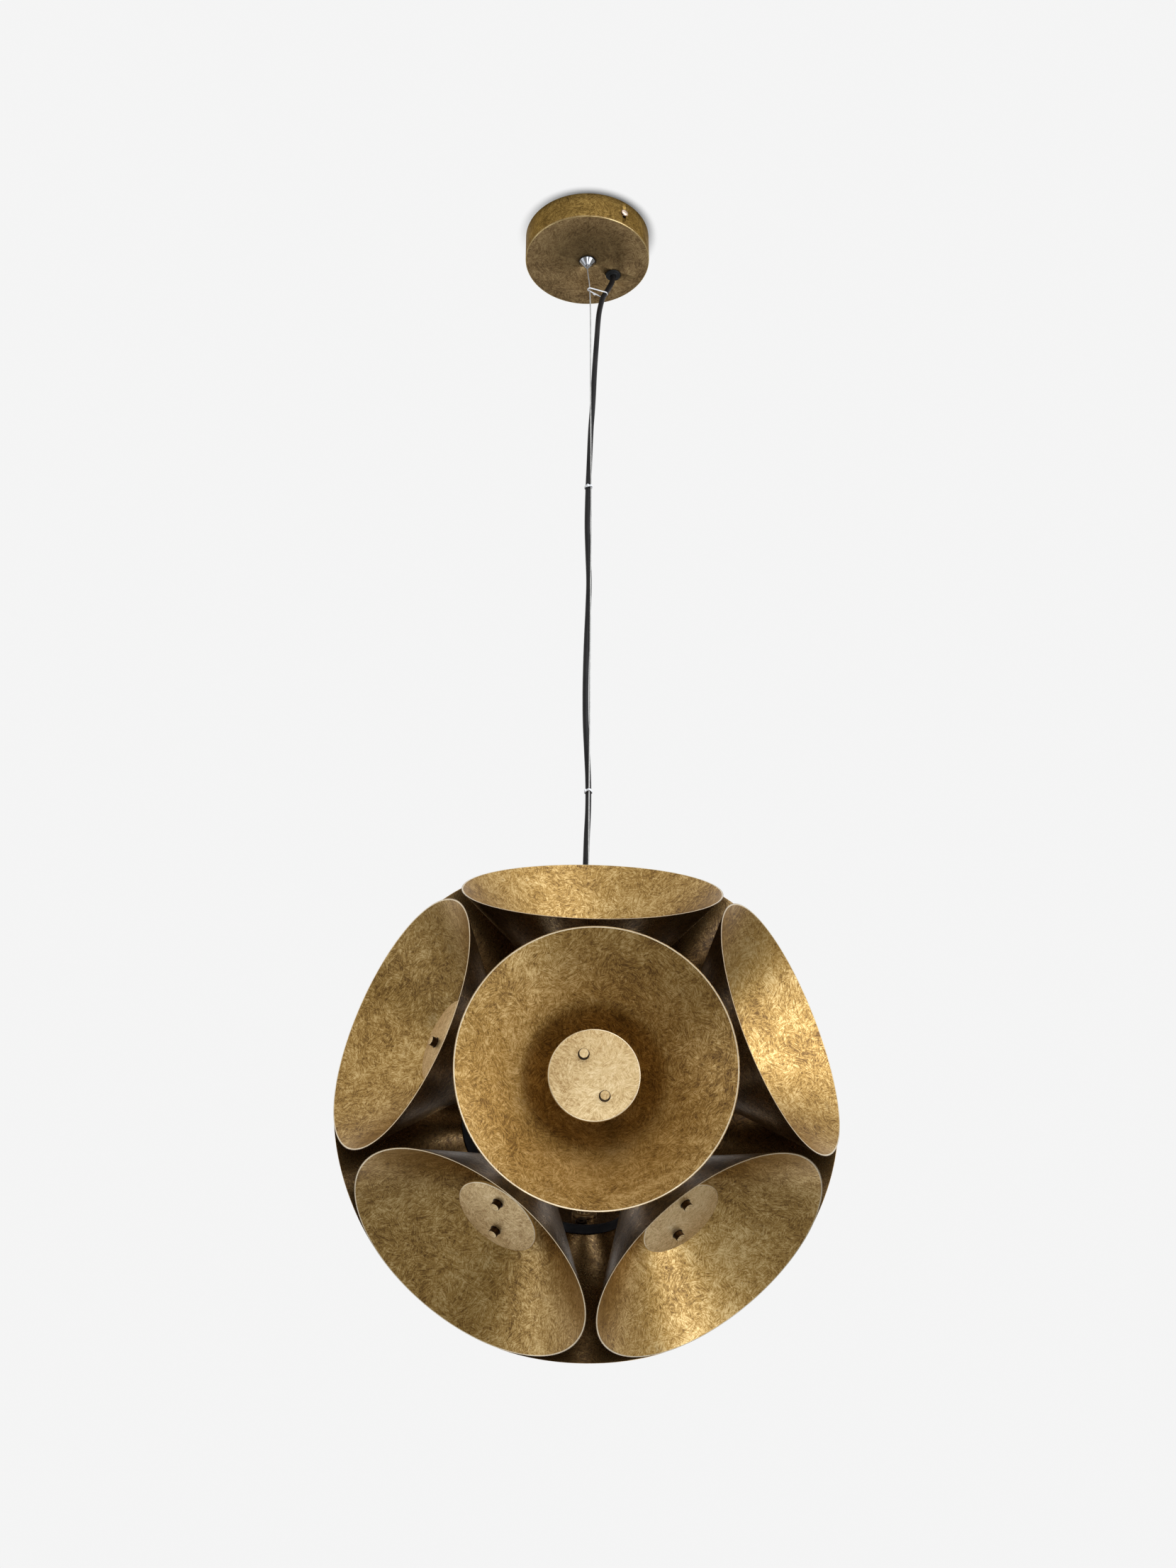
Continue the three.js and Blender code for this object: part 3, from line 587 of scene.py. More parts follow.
# Dark metal of the posts and nuts; also the ring under each head, which paints the shade at its foot
dark_bronze_and_shade = mottled("dark bronze and painted shade", (0.02, 0.011, 0.006), (0.06, 0.035, 0.018), 0.35, 1.0, 120, 1500)
# Bare metal on the cones' cut rims; on the discs' rolled edges it also paints the highlight the bevel catches
edge_and_highlight_brass = mottled("cut edge with painted highlight", (0.60, 0.48, 0.31), (0.80, 0.68, 0.47), 0.28, 1.0, 60, 900)
screw_brass = mottled("screw brass", (0.52, 0.37, 0.26), (0.70, 0.54, 0.42), 0.2, 1.0, 150, 1500)
# Lower corner of the canopy: partly worn brass, partly a painted highlight where the corner catches the light
worn_and_highlight_brass = mottled("worn brass with painted highlight", (0.42, 0.29, 0.1), (0.78, 0.6, 0.3), 0.27, 1.0, 55, 900)
plain_brass = mottled("brass", (0.50, 0.36, 0.18), (0.66, 0.50, 0.27), 0.33, 1.0, 70, 1200)
chrome = mottled("chrome", (0.46, 0.46, 0.47), (0.60, 0.60, 0.60), 0.08, 1.0, 90, 1500, 0.02)
steel = mottled("steel", (0.42, 0.43, 0.45), (0.62, 0.63, 0.65), 0.35, 1.0, 80, 1400)
rope_steel = mottled("wire rope", (0.38, 0.37, 0.35), (0.56, 0.55, 0.51), 0.45, 0.5, 120, 1800)
black_plastic = mottled(
    "black plastic", (0.012, 0.012, 0.014), (0.03, 0.03, 0.033), 0.5, 0.0, 60, 1500, 0.1,
    Specular_IOR_Level=0.25)
sheath = mottled(
    "cable sheath", (0.008, 0.007, 0.007), (0.018, 0.016, 0.015), 0.4, 0.0, 40, 1100, 0.03,
    Specular_IOR_Level=0.15)
# Black rubber of the bush; also the washer under the gripper, which paints a shadow
rubber_and_shadow = mottled(
    "rubber_and_shadow", (0.010, 0.010, 0.010), (0.022, 0.022, 0.022), 0.55, 0.0, 90, 1300, 0.12,
    Specular_IOR_Level=0.2)
white_plastic = mottled("white plastic", (0.62, 0.62, 0.60), (0.76, 0.76, 0.75), 0.45, 0.0, 50, 900)
clear_nylon = mottled("nylon strap", (0.80, 0.80, 0.79), (0.90, 0.90, 0.89), 0.35, 0.0, 120, 1500)
lens = mottled("light lens", (0.75, 0.73, 0.66), (0.85, 0.83, 0.76), 0.4, 0.0, 60, 900)


def put(piece, body, slot, *nodes):
    """Rides the piece on its body and stands it in for its solids; its slot is not used."""
    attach(piece, body)
    if nodes:
        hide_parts(*nodes)
    return piece


# Wire and cable, through the solids' own points in metres
wire_points = [
    (0, 0, -0.0475), (0.0006, 0, -0.056), (0.0024, 0, -0.072), (0.0032, 0, -0.092), (0.0038, 0, -0.117),
    (0.0039, 0, -0.226), (0.0041, 0, -0.33), (0.0042, 0, -0.43), (0.0037, 0, -0.506), (0.0032, 0, -0.58),
    (0.0025, 0, -0.687), (0.0018, 0, -0.788), (0.0011, 0, -0.89), (0.0004, 0, -1.0), (0, 0, -1.05),
    (0, 0, -1.07), (0, 0, -1.09),
]
cable_points = [
    (0.022, 0.0132, -0.0765), (0.0195, 0.0116, -0.083), (0.0166, 0.0098, -0.097), (0.0142, 0.0083, -0.114),
    (0.0113, 0.0064, -0.158), (0.0088, 0.0049, -0.202), (0.007, 0.0042, -0.245), (0.0059, 0.004, -0.266),
    (0.0046, 0.0043, -0.287), (0.0037, 0.0043, -0.308), (0.0023, 0.0038, -0.348), (0.0011, 0.003, -0.38),
    (0.0002, 0.0018, -0.43), (0.0011, 0.0032, -0.467), (0.0021, 0.004, -0.504), (0.0012, 0.0037, -0.541),
    (-0.0002, 0.0027, -0.578), (-0.0013, 0.0013, -0.616), (-0.0018, 0.0009, -0.652),
    (-0.0015, 0.0016, -0.686), (-0.0001, 0.0036, -0.719), (0.0012, 0.0043, -0.753),
    (0.0012, 0.0043, -0.786), (-0.0002, 0.0039, -0.82), (-0.0011, 0.0035, -0.85), (-0.0023, 0.0031, -0.89),
    (-0.0035, 0.0024, -0.95), (-0.0047, 0.0012, -1.005), (-0.0056, 0.0002, -1.045), (-0.0057, 0, -1.062),
    (-0.0057, 0, -1.072), (-0.0064, 0, -1.078), (-0.0067, 0, -1.0835),
]
upper_cable_points = [  # in the canopy's own turned frame; the last lies where the lower run takes over
    (0.0389, 0, -0.0146), (0.0389, 0, -0.026), (0.0389, 0, -0.034), (0.0389, 0, -0.042),
    (0.0368, -0.0001, -0.051), (0.0318, -0.0006, -0.063), (0.0256, -0.0012, -0.076),
]

wire_path = smooth_path(wire_points, step=0.001)
wire = sweep("steel_wire_rope", wire_path, WIRE_RADIUS * MM, rope_steel, lobes=WIRE_STRANDS,
             depth=STRAND_DEPTH, pitch=STRAND_PITCH, sides=18)
put(wire, "suspension", "wire_rope", "steel_wire")

upper = [tuple(canopy_frame @ Vector(p)) for p in upper_cable_points]
cable_path = smooth_path(upper[:-1] + cable_points, step=0.002)
cable = sweep("power_cable_sheath", cable_path, CABLE_RADIUS * MM, sheath, lobes=2,
              depth=CORE_DEPTH, pitch=CABLE_TWIST, sides=30)
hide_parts("power_cable", "power_cable_upper")
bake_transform(cable)

# Cones, with their discs, light modules and arms
RING_STARTS = [(0, STEEP_TILT), (60, FLAT_TILT), (0, math.pi - FLAT_TILT), (60, math.pi - STEEP_TILT)]


def cone_frame(number):
    """Frame of one cone: Z along its axis, X level, the origin at the lamp's centre."""
    start, tilt = RING_STARTS[number // 3]
    azimuth = math.radians(start + 120 * (number % 3))
    along = Vector((math.sin(azimuth) * math.sin(tilt), -math.cos(azimuth) * math.sin(tilt), math.cos(tilt)))
    level = Vector((math.cos(azimuth), math.sin(azimuth), 0))
    return lamp_frame @ Matrix((level, along.cross(level), along)).transposed().to_4x4()


def shade(name, matrix):
    inside, outside, edge = 0, 1, 2
    slope = (RIM_RADIUS - NECK_RADIUS) / SHADE_DEPTH
    across = SHEET * math.hypot(1, slope)
    foot = NECK_RADIUS + SHEET * slope - across
    corners = [
        (LIGHT_HOLE, NECK_HEIGHT, 0.3, outside), (NECK_RADIUS, NECK_HEIGHT, 3, outside),
        (RIM_RADIUS, RIM_HEIGHT, 0.5, edge), (RIM_RADIUS - across, RIM_HEIGHT, 0.4, inside),
        (foot, NECK_HEIGHT + SHEET, 2.5, inside), (LIGHT_HOLE, NECK_HEIGHT + SHEET, 0.3, edge),
    ]
    # The outside's darker copy paints the shade between the cones
    materials = [inside_brass, shaded_outside_brass, edge_and_highlight_brass]
    return lathe(name, rounded(corners, closed=True), 144, materials, matrix=matrix, sharp=40)


def disc(name, matrix):
    """Flat leaf with its edge turned back; the edge's bright colour is partly a painted highlight."""
    face, edge = 0, 1
    back = DISC_FACE - DISC_SHEET
    inner = DISC_RADIUS - DISC_SHEET
    foot = DISC_FACE - DISC_EDGE
    corners = [
        (0, back, 0, face), (inner, back, 0.8, face), (inner, foot, 0.3, edge),
        (DISC_RADIUS, foot, 0.3, edge), (DISC_RADIUS, DISC_FACE, 1.1, face), (0, DISC_FACE, 0, face),
    ]
    outline = rounded(corners, closed=False)
    return lathe(name, outline, 112, [leaf_brass, edge_and_highlight_brass], closed=False, matrix=matrix)


def post_places(number):
    turn = math.radians(POST_TURNS[number])
    aside = Vector((math.cos(turn), math.sin(turn), 0)) * (POST_SPACING / 2 * MM)
    return [aside, -aside]


def posts(name, matrix, number):
    """The disc's two posts: a cylinder head in front on a dark ring that paints the shade at its foot, a
    round nut behind the module.
    """
    leaf, bronze = 0, 1
    nut_top = MODULE_BACK - SEAT_GAP
    nut_foot = nut_top - NUT_HEIGHT
    seat = DISC_FACE - DISC_SHEET / 2
    top = DISC_FACE + HEAD_HEIGHT
    corners = [
        (0, nut_foot - POST_END, 0, bronze), (POST_RADIUS, nut_foot - POST_END, 0.3, bronze),
        (POST_RADIUS, nut_foot, 0, bronze), (NUT_RADIUS, nut_foot, 0.5, bronze),
        (NUT_RADIUS, nut_top, 0.4, bronze), (POST_RADIUS, nut_top, 0, bronze),
        # The dark ring round the head's foot is painted shade
        (POST_RADIUS, seat, 0, bronze), (HEAD_RADIUS + SHADE_RING_WIDTH, seat, 0, bronze),
        (HEAD_RADIUS + SHADE_RING_WIDTH, DISC_FACE + SHADE_RING_EDGE, 0.1, bronze),
        (HEAD_RADIUS, DISC_FACE + SHADE_RING_TOP, 0, bronze), (HEAD_RADIUS, top, 0.35, leaf), (0, top, 0, leaf),
    ]
    outline = rounded(corners, closed=False)
    made = [lathe(name, outline, 32, [leaf_brass, dark_bronze_and_shade], closed=False,
                  matrix=matrix @ Matrix.Translation(place)) for place in post_places(number)]
    return joined(name, made)


def module(name, matrix):
    """Black cup behind the neck, with a brass plate in its back."""
    black, brass = 0, 1
    end = MODULE_BACK - MODULE_SKIRT
    inner = MODULE_RADIUS - MODULE_WALL
    corners = [
        (0, MODULE_BACK, 0, brass), (inner, MODULE_BACK, 0.4, black), (inner, end, 0.5, black),
        (MODULE_RADIUS, end, 0.8, black), (MODULE_RADIUS, MODULE_FACE, 0.6, black),
        (0, MODULE_FACE, 0, black),
    ]
    outline = rounded(corners, closed=False)
    # The back plate takes the outside's darker copy, which paints shade
    return lathe(name, outline, 96, [black_plastic, shaded_outside_brass], closed=False, matrix=matrix)


def emitter(name, matrix):
    """Lens that stands through the cone's hole and narrows towards its rounded top."""
    radius = LIGHT_HOLE - EMITTER_CLEARANCE
    top = MODULE_FACE + EMITTER_HEIGHT
    corners = [
        (0, MODULE_FACE, 0, 0), (radius, MODULE_FACE, 0, 0), (radius * EMITTER_TAPER, top, 2, 0),
        (0, top, 0, 0),
    ]
    return lathe(name, rounded(corners, closed=False), 48, [lens], closed=False, matrix=matrix)


def arm(name, matrix):
    """Tube out of the hub with a flange under the module."""
    root = HUB_RADIUS - HUB_WALL * 2 / 3
    under = FLANGE_FACE - FLANGE
    corners = [
        (ARM_BORE, root, 0, 0), (ARM_RADIUS, root, 0, 0), (ARM_RADIUS, under, 0.8, 0),
        (FLANGE_RADIUS, under, 0.4, 0), (FLANGE_RADIUS, FLANGE_FACE, 0.3, 0), (ARM_BORE, FLANGE_FACE, 0.3, 0),
    ]
    return lathe(name, rounded(corners, closed=True), 40, [plain_brass], matrix=matrix)


for number in range(12):
    tag = f"{number + 1:02d}"
    matrix = cone_frame(number)
    put(shade(f"cone_{tag}", matrix), "lamp", "patinated_brass", f"shade_{tag}")
    put(disc(f"reflector_{tag}", matrix), "lamp", "brass_leaf", f"disc_{tag}")
    put(posts(f"reflector_posts_{tag}", matrix, number), "lamp", "brass")
    put(module(f"module_cup_{tag}", matrix), "lamp", "black_plastic", f"led_module_{tag}")
    put(emitter(f"module_lens_{tag}", matrix), "lamp", "white_plastic")
    put(arm(f"hub_arm_{tag}", matrix), "lamp", "brass")


# Hub and nipple
def ball_run(radius, start, end, steps):
    """Corners along a ball's outline from one height to another."""
    a, b = math.asin(start / radius), math.asin(end / radius)
    angles = [a + (b - a) * i / steps for i in range(steps + 1)]
    return [(radius * math.cos(t), radius * math.sin(t), 0, 0) for t in angles]


def upper_shell():
    shoulder = math.sqrt(HUB_RADIUS ** 2 - HUB_LAND_RADIUS ** 2)
    seat = SPIGOT_HEIGHT + SEAT_GAP
    bore = NIPPLE_RADIUS + SEAT_GAP
    corners = [
        (HUB_INSIDE, SEAM, 0.3, 0), (HUB_RADIUS, SEAM, 0.4, 0), *ball_run(HUB_RADIUS, SEAM, shoulder, 24)[1:],
        (HUB_LAND_RADIUS, HUB_LAND_TOP, 0.6, 0), (bore, HUB_LAND_TOP, 0.4, 0), (bore, HUB_LAND_UNDER, 0, 0),
        *ball_run(HUB_INSIDE, HUB_LAND_UNDER, seat, 20), (HUB_INSIDE, seat, 0, 0),
    ]
    return lathe("hub_upper_shell", rounded(corners, closed=True), 96, [plain_brass], matrix=lamp_frame)


def lower_shell():
    outer = HUB_INSIDE - SEAT_GAP
    inner = outer - SPIGOT_WALL
    foot = -math.sqrt(HUB_INSIDE ** 2 - inner ** 2)
    shoulder = -math.sqrt(HUB_RADIUS ** 2 - BOTTOM_LAND_RADIUS ** 2)
    hole = BOLT_RADIUS + SEAT_GAP
    corners = [
        (outer, -SEAM, 0, 0), (outer, SPIGOT_HEIGHT, 0.3, 0), (inner, SPIGOT_HEIGHT, 0.3, 0),
        (inner, foot, 0, 0),
        *ball_run(HUB_INSIDE, foot, -BOTTOM_LAND_UNDER, 16)[1:], (hole, -BOTTOM_LAND_UNDER, 0, 0),
        (hole, -BOTTOM_LAND, 0.3, 0), (BOTTOM_LAND_RADIUS, -BOTTOM_LAND, 0.5, 0),
        *ball_run(HUB_RADIUS, shoulder, -SEAM, 24),
    ]
    return lathe("hub_lower_shell", rounded(corners, closed=True), 96, [plain_brass], matrix=lamp_frame)


def nipple_tube():
    foot = HUB_LAND_UNDER - SEAT_GAP - NIPPLE_FLANGE
    shelf = foot + NIPPLE_FLANGE
    top = HUB_LAND_TOP + NIPPLE_ABOVE_HUB
    corners = [
        (NIPPLE_BORE, foot, 0.4, 0), (NIPPLE_FLANGE_RADIUS, foot, 0.4, 0),
        (NIPPLE_FLANGE_RADIUS, shelf, 0.4, 0), (NIPPLE_RADIUS, shelf, 0, 0),
        (NIPPLE_RADIUS, top, 0.8, 0), (NIPPLE_BORE, top, 0.5, 0),
    ]
    return lathe("nipple_tube", rounded(corners, closed=True), 64, [plain_brass], matrix=lamp_frame)


put(upper_shell(), "lamp", "brass", "hub_upper")
put(lower_shell(), "lamp", "brass", "hub_lower")
put(nipple_tube(), "lamp", "brass", "hanger_nipple")

# Solids that show as they are, with their materials
for name, material in {
    "ceiling_plate": steel, "gripper_nut": steel, "hub_bolt": steel, "wire_stop": steel,
    "nipple_nut": plain_brass, "wire_tail": rope_steel, "cable_splice": white_plastic,
    "terminal_block": white_plastic, "led_driver": white_plastic,
}.items():
    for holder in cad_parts[name].material_slots:
        holder.material = material


# Canopy
def canopy_outline():
    """The cup's outline; its lower corner is brighter, partly wear and partly a painted highlight, and its
    side is a darker copy of the patina, painted shade.
    """
    # worn: the corner's brighter copy, partly a painted highlight; wall: the side's darker copy, painted
    # shade
    face, worn, wall = 0, 1, 2
    inner = CANOPY_RADIUS - CANOPY_WALL
    corners = [
        (0, -CANOPY_HEIGHT, 0, face), (CANOPY_RADIUS, -CANOPY_HEIGHT, CANOPY_ROUNDING, face),
        (CANOPY_RADIUS, 0, 0.4, face), (inner, 0, 0.3, face), (inner, CANOPY_FLOOR, 1.2, face),
        (0, CANOPY_FLOOR, 0, face),
    ]
    plain = rounded(corners, closed=False, steps=6)
    outline = []
    for (r, z, _), (next_r, next_z, _) in zip(plain, plain[1:]):
        # Corner runs take the brighter copy: wear, with a painted highlight
        on_corner = outline and next_r >= CANOPY_RADIUS - BRIGHT_CORNER_REACH and next_z < BRIGHT_CORNER_REACH - CANOPY_HEIGHT
        on_wall = r > CANOPY_RADIUS - WALL_SLACK and z < -WALL_MARGIN
        outline.append((r, z, worn if on_corner else wall if on_wall else face))
    return outline + plain[-1:]


def screw_frame(side):
    """Frame of a side screw: Z out of the cup, the origin on the canopy's axis."""
    depth = Matrix.Translation((0, 0, -SCREW_DEPTH * MM))
    return canopy_frame @ depth @ Matrix.Rotation(-side * math.pi / 2, 4, "X")


def canopy_shell():
    materials = [canopy_brass, worn_and_highlight_brass, shaded_canopy_side]
    shell = lathe("canopy_shell", canopy_outline(), 160, materials, closed=False, matrix=canopy_frame)
    cutters = []
    near, far = CANOPY_RADIUS - CUT_INTO_SIDE, CANOPY_RADIUS + CUT_PAST
    for side in (-1, 1):
        cutters.append(pin(SCREW_RADIUS + PLAY, near, far, screw_frame(side)))
        low, high = sorted((side * near, side * far))
        slot_low = (-WALL_SLOT_HALF, low, -SCREW_DEPTH - WALL_SLOT_DROP)
        slot_high = (WALL_SLOT_HALF, high, -SCREW_DEPTH)
        cutters.append(block(slot_low, slot_high, canopy_frame))
    under, over = -CANOPY_HEIGHT - CUT_PAST, CANOPY_FLOOR + CUT_PAST
    cutters.append(pin(STUD_RADIUS + PLAY, under, over, canopy_frame))
    cutters.append(pin(GROMMET_NECK + PLAY, under, over, outlet_frame))
    return cut(shell, *cutters)


def canopy_screw(name, side):
    """Domed screw in the cup's side, its slot turned aslant."""
    under = CANOPY_RADIUS + SEAT_GAP
    foot = under - SCREW_LENGTH
    rise = SCREW_DOME - SCREW_RIM
    angles = [k * math.pi / 16 for k in range(8)]
    dome = [(SCREW_HEAD * math.cos(a), under + SCREW_RIM + rise * math.sin(a), 0, 0) for a in angles]
    corners = [
        (0, foot, 0, 0), (SCREW_RADIUS, foot, 0.4, 0), (SCREW_RADIUS, under, 0, 0), (SCREW_HEAD, under, 0, 0),
        *dome, (0, under + SCREW_DOME, 0, 0),
    ]
    place = screw_frame(side) @ Matrix.Rotation(SCREW_SLOT_TURN, 4, "Z")
    screw = lathe(name, rounded(corners, closed=False), 40, [screw_brass], closed=False, matrix=place)
    slot_low = (-SLOT_CUTTER_HALF, -SCREW_SLOT / 2, under + SCREW_SLOT_FLOOR)
    slot_high = (SLOT_CUTTER_HALF, SCREW_SLOT / 2, under + SLOT_CUTTER_TOP)
    return cut(screw, block(slot_low, slot_high, place))


put(canopy_shell(), "ceiling", "patinated_brass", "canopy_cup")
for number, side in ((1, -1), (2, 1)):
    put(canopy_screw(f"side_screw_{number}", side), "ceiling", "brass", f"canopy_screw_{number}")


# Gripper, its sleeve and the cable's bush
def gripper_cone():
    """Chrome cone and stud with the sleeve's chamber inside, and a thin black washer against the canopy that
    paints the shadow in the gap there.
    """
    # The washer's black stands in for the shadow between the cone and the canopy
    metal, washer = 0, 1
    shadow_washer_foot = GRIPPER_FACE - SHADOW_WASHER
    stud_top = -CANOPY_HEIGHT + STUD_ABOVE
    nozzle, chamber = SLEEVE_RADIUS + PLAY, SLEEVE_COLLAR + PLAY
    corners = [
        (nozzle, GRIPPER_END, 0.2, metal), (GRIPPER_TIP, GRIPPER_END, 0.5, metal),
        (GRIPPER_TOP, GRIPPER_FACE - GRIPPER_BAND, 0.3, metal), (GRIPPER_TOP, shadow_washer_foot, 0, washer),
        (SHADOW_WASHER_RADIUS, shadow_washer_foot, 0.1, washer), (SHADOW_WASHER_RADIUS, GRIPPER_FACE, 0, washer),
        (STUD_RADIUS, GRIPPER_FACE, 0, metal), (STUD_RADIUS, stud_top, 0.4, metal),
        (WIRE_HOLE, stud_top, 0, metal), (WIRE_HOLE, CHAMBER_TOP, 0, metal), (chamber, CHAMBER_TOP, 0, metal),
        (chamber, CHAMBER_FOOT, 0, metal), (nozzle, CHAMBER_FOOT, 0, metal),
    ]
    return lathe("gripper_cone", rounded(corners, closed=True), 64, [chrome, rubber_and_shadow])


def release_nozzle():
    tip = GRIPPER_END - SLEEVE_BELOW_CONE
    shelf = CHAMBER_FOOT + SEAT_GAP
    top = shelf + SLEEVE_COLLAR_HEIGHT
    corners = [
        (WIRE_HOLE, tip, 0.2, 0), (SLEEVE_RADIUS, tip, 0.5, 0), (SLEEVE_RADIUS, shelf, 0, 0),
        (SLEEVE_COLLAR, shelf, 0.2, 0), (SLEEVE_COLLAR, top, 0.2, 0), (WIRE_HOLE, top, 0, 0),
    ]
    return lathe("release_nozzle", rounded(corners, closed=True), 40, [chrome])


def outlet_bush():
    """Rubber bush with a stepped nose below the canopy and a barb above its floor."""
    foot = GRIPPER_FACE - GROMMET_LIP
    floor = CANOPY_FLOOR + SEAT_GAP
    top = floor + GROMMET_LIP
    corners = [
        (GROMMET_BORE, foot, 0.4, 0), (NOSE_RADII[0], foot, 0.6, 0),
        (NOSE_RADII[1], GRIPPER_FACE - NOSE_TOP, 0.3, 0),
        (GROMMET_RADIUS * EDGE_SHARE, GRIPPER_FACE - GROMMET_EDGE, 0.7, 0),
        (GROMMET_RADIUS, GRIPPER_FACE, 0.3, 0),
        (GROMMET_NECK, GRIPPER_FACE, 0, 0), (GROMMET_NECK, floor, 0, 0), (BARB_RADII[0], floor, 0.3, 0),
        (BARB_RADII[1], top, 0.5, 0), (GROMMET_BORE, top, 0.3, 0),
    ]
    return lathe("outlet_bush", rounded(corners, closed=True), 56, [rubber_and_shadow], matrix=outlet_frame)


put(gripper_cone(), "ceiling", "chrome", "wire_gripper")
put(release_nozzle(), "sleeve", "chrome", "gripper_sleeve")
put(outlet_bush(), "ceiling", "black_rubber", "cable_grommet")


# Ties that hold the cable to the wire
def nearest(path, height):
    return Vector(path[np.argmin(np.abs(path[:, 2] - height))])


def tie_loop(reach, small, large):
    """Points and outward directions of a band drawn round two circles that stand apart by the reach."""
    half = math.acos(max(-1, min(1, (small - large) / reach)))
    turns = [(reach, large, a) for a in np.linspace(-half, half, 29)]
    turns += [(0, small, a) for a in np.linspace(half, 2 * math.pi - half, 17)]
    return [(x + r * math.cos(a), r * math.sin(a), math.cos(a), math.sin(a)) for x, r, a in turns]


def strap(name, depth, width, slack, tilt):
    """Band drawn round the wire and the cable, with a small lock on one side."""
    wire_at, cable_at = nearest(wire_path, -depth * MM), nearest(cable_path, -depth * MM)
    across = (cable_at - wire_at) * (1 / MM)
    across.z = 0
    reach = across.length
    small, large = WIRE_RADIUS + slack, CABLE_RADIUS + slack
    points = tie_loop(reach, small, large)
    edge, flat = width / 2, width / 2 - TIE_BEVEL
    outer = TIE_THICKNESS - TIE_BEVEL
    section = [(0, -flat), (TIE_BEVEL, -edge), (outer, -edge), (TIE_THICKNESS, -flat),
               (TIE_THICKNESS, flat), (outer, edge), (TIE_BEVEL, edge), (0, flat)]
    verts = [((x + nx * out) * MM, (y + ny * out) * MM, up * MM)
             for x, y, nx, ny in points for out, up in section]
    count, sides = len(points), len(section)
    faces = []
    for i in range(count):
        for j in range(sides):
            a, b = i * sides, (i + 1) % count * sides
            k = (j + 1) % sides
            faces.append([a + j, b + j, b + k, a + k])
    place = Matrix.Translation((wire_at.x, wire_at.y, -depth * MM))
    place = place @ Matrix.Rotation(math.atan2(across.y, across.x), 4, "Z") @ Matrix.Rotation(tilt, 4, "Y")
    band = mesh_object(name, verts, faces, [clear_nylon], matrix=place, sharp=50)
    x, y = reach / 2, (small + large) / 2 + LOCK_STANDOFF
    high = edge + LOCK_PAST_BAND
    lock = block((x - LOCK_LENGTH / 2, y, -high), (x + LOCK_LENGTH / 2, y + LOCK_DEPTH, high), place)
    lock.data.materials.append(clear_nylon)
    rounding = lock.modifiers.new("rounded", "BEVEL")
    rounding.width = LOCK_ROUNDING * MM
    rounding.segments = 3
    cut(lock)
    lock.data.shade_smooth()
    return joined(name, [band, lock])


for number, (depth, width, slack, tilt) in enumerate(TIES, 1):
    piece = strap(f"strap_{number}", depth, width, slack, math.radians(tilt))
    put(piece, "suspension", "white_nylon", f"cable_tie_{number}")

# Stage: pale floor, the canopy's soft shadow on the ceiling, pale surroundings
BACKDROP = (0.909, 0.909, 0.909, 1)
AMBIENT = 0.5
FLOOR_COLOUR = (0.56, 0.56, 0.55, 1)
FLOOR_HEIGHT = -2.6
FLOOR_HALF = 60
SHADOW_REACH = 0.012  # from the canopy's side
SHADOW_HALF = 0.25
SHADOW_HEIGHT = 0.0006


def plane(name, half, height, material):
    verts = [(-half, -half, height), (half, -half, height), (half, half, height), (-half, half, height)]
    made = mesh_object(name, verts, [[0, 1, 2, 3]], [material])
    return made


def shadow_material():
    """Clear but for a dark rim where the canopy stands near, strongest in front and to the right."""
    made = bpy.data.materials.new("ceiling shadow")
    made.use_nodes = True
    tree = made.node_tree
    tree.nodes.clear()
    near = node(tree, "ShaderNodeAmbientOcclusion", [("Distance", SHADOW_REACH)], samples=16)
    place = node(tree, "ShaderNodeSeparateXYZ", [(0, node(tree, "ShaderNodeTexCoord").outputs["Object"])])
    lean = combine(tree, "ADD", place.outputs["Y"], combine(tree, "MULTIPLY", place.outputs["X"], -0.35))
    front = ramp(tree, lean, low=-0.075, high=0.05, low_value=0.8, high_value=0.05)
    rim = ramp(tree, near.outputs["AO"], low=0.98, high=0.55)
    shadow = combine(tree, "MULTIPLY", rim, front)
    clear = node(tree, "ShaderNodeBsdfTransparent")
    dark = node(tree, "ShaderNodeBsdfDiffuse", [("Color", (0.02, 0.02, 0.02, 1))])
    mixed = node(tree, "ShaderNodeMixShader", [(0, shadow), (1, clear.outputs[0]), (2, dark.outputs[0])])
    node(tree, "ShaderNodeOutputMaterial", [("Surface", mixed.outputs[0])])
    return made


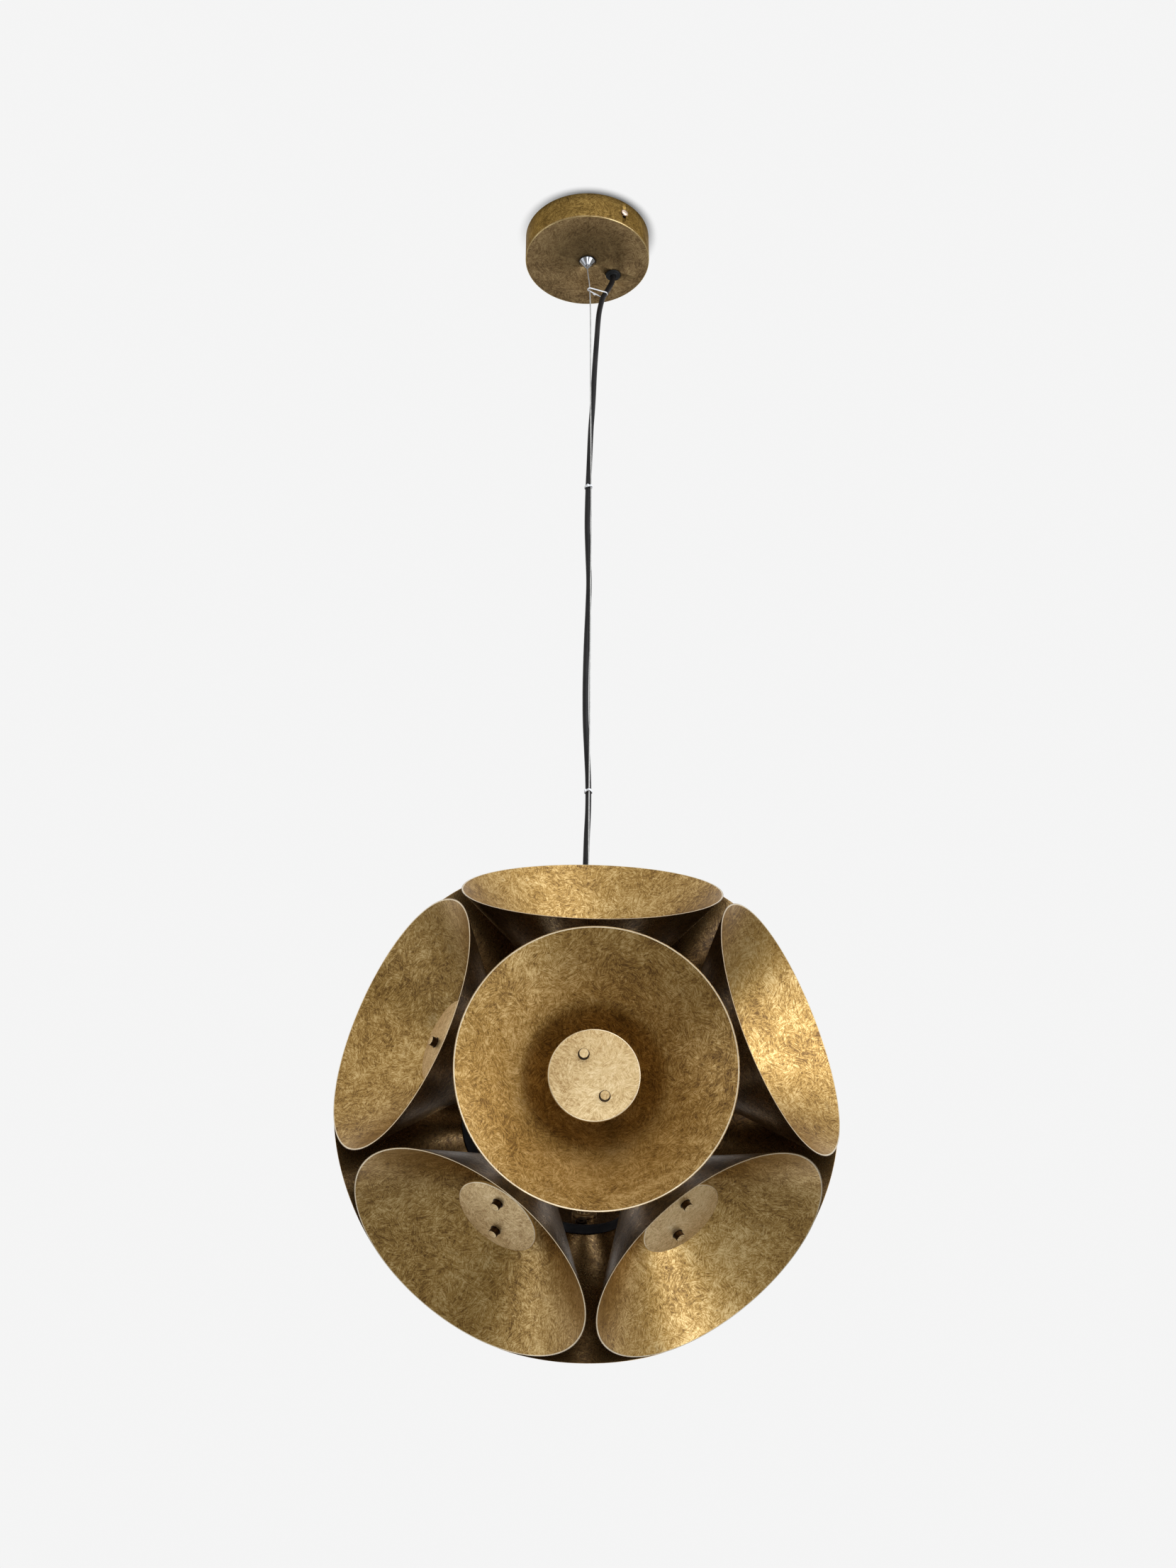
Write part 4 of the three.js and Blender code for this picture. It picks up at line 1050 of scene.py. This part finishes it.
def pale_world():
    """Pale backdrop for the camera and in gloss and glass; plain ambient light for everything else."""
    world = bpy.data.worlds.new("studio")
    world.use_nodes = True
    tree = world.node_tree
    tree.nodes.clear()
    path = node(tree, "ShaderNodeLightPath")
    seen = combine(tree, "MAXIMUM", path.outputs["Is Camera Ray"], path.outputs["Is Glossy Ray"])
    seen = combine(tree, "MAXIMUM", seen, path.outputs["Is Transmission Ray"])
    backdrop = node(tree, "ShaderNodeBackground", [("Color", BACKDROP), ("Strength", 1.0)])
    ambient = node(tree, "ShaderNodeBackground", [("Color", (1, 1, 1, 1)), ("Strength", AMBIENT)])
    mixed = node(tree, "ShaderNodeMixShader", [(0, seen), (1, ambient.outputs[0]), (2, backdrop.outputs[0])])
    node(tree, "ShaderNodeOutputWorld", [("Surface", mixed.outputs[0])])
    return world


floor_material, _, floor_shader = new_material("floor", Roughness=0.9)
floor_shader.inputs["Base Color"].default_value = FLOOR_COLOUR
plane("floor", FLOOR_HALF, FLOOR_HEIGHT, floor_material)
plane("ceiling_shadow", SHADOW_HALF, SHADOW_HEIGHT, shadow_material())
bpy.context.scene.world = pale_world()

# Soft boxes round the lamp; the low ones stand nearer, so that they stay above the floor
LIGHT_COLOUR = (0.94, 1.0, 1.12)
LIGHT_TARGET = Vector((0, 0, -1.1))
LOW = {"width": 0.92, "height": 0.92, "distance": 1.55}


def area_light(name, azimuth, elevation, radiance, width=1.3, height=1.3, distance=2.2):
    """Soft box of the given radiance, aimed at the lamp; azimuth 0 is the front, growing to the right."""
    data = bpy.data.lights.new(name, "AREA")
    data.shape = "RECTANGLE"
    data.size = width
    data.size_y = height
    data.energy = math.pi * width * height * radiance
    data.color = LIGHT_COLOUR
    made = bpy.data.objects.new(name, data)
    a, e = math.radians(azimuth), math.radians(elevation)
    away = Vector((math.sin(a) * math.cos(e), -math.cos(a) * math.cos(e), math.sin(e)))
    made.location = LIGHT_TARGET + away * distance
    made.rotation_mode = "QUATERNION"
    made.rotation_quaternion = away.to_track_quat("Z", "Y")
    made.visible_camera = False
    bpy.context.scene.collection.objects.link(made)


area_light("key", 52, 3, 2.4, width=1.5, height=2.6)
area_light("front top", 22, 35, 1.6)
area_light("right top", 67, 35, 0.9)
area_light("right low", 67, -35, 0.85, **LOW)
area_light("front", 0, -20, 2.3, width=0.9, height=0.9)
area_light("left", -80, 0, 0.7)
area_light("left low", -112, -35, 0.7, **LOW)
area_light("back left", -160, -28, 0.7, **LOW)
area_light("back right", 157, -35, 0.6, **LOW)
area_light("top", 10, 68, 0.4)

bpy.context.scene.view_settings.view_transform = "Standard"
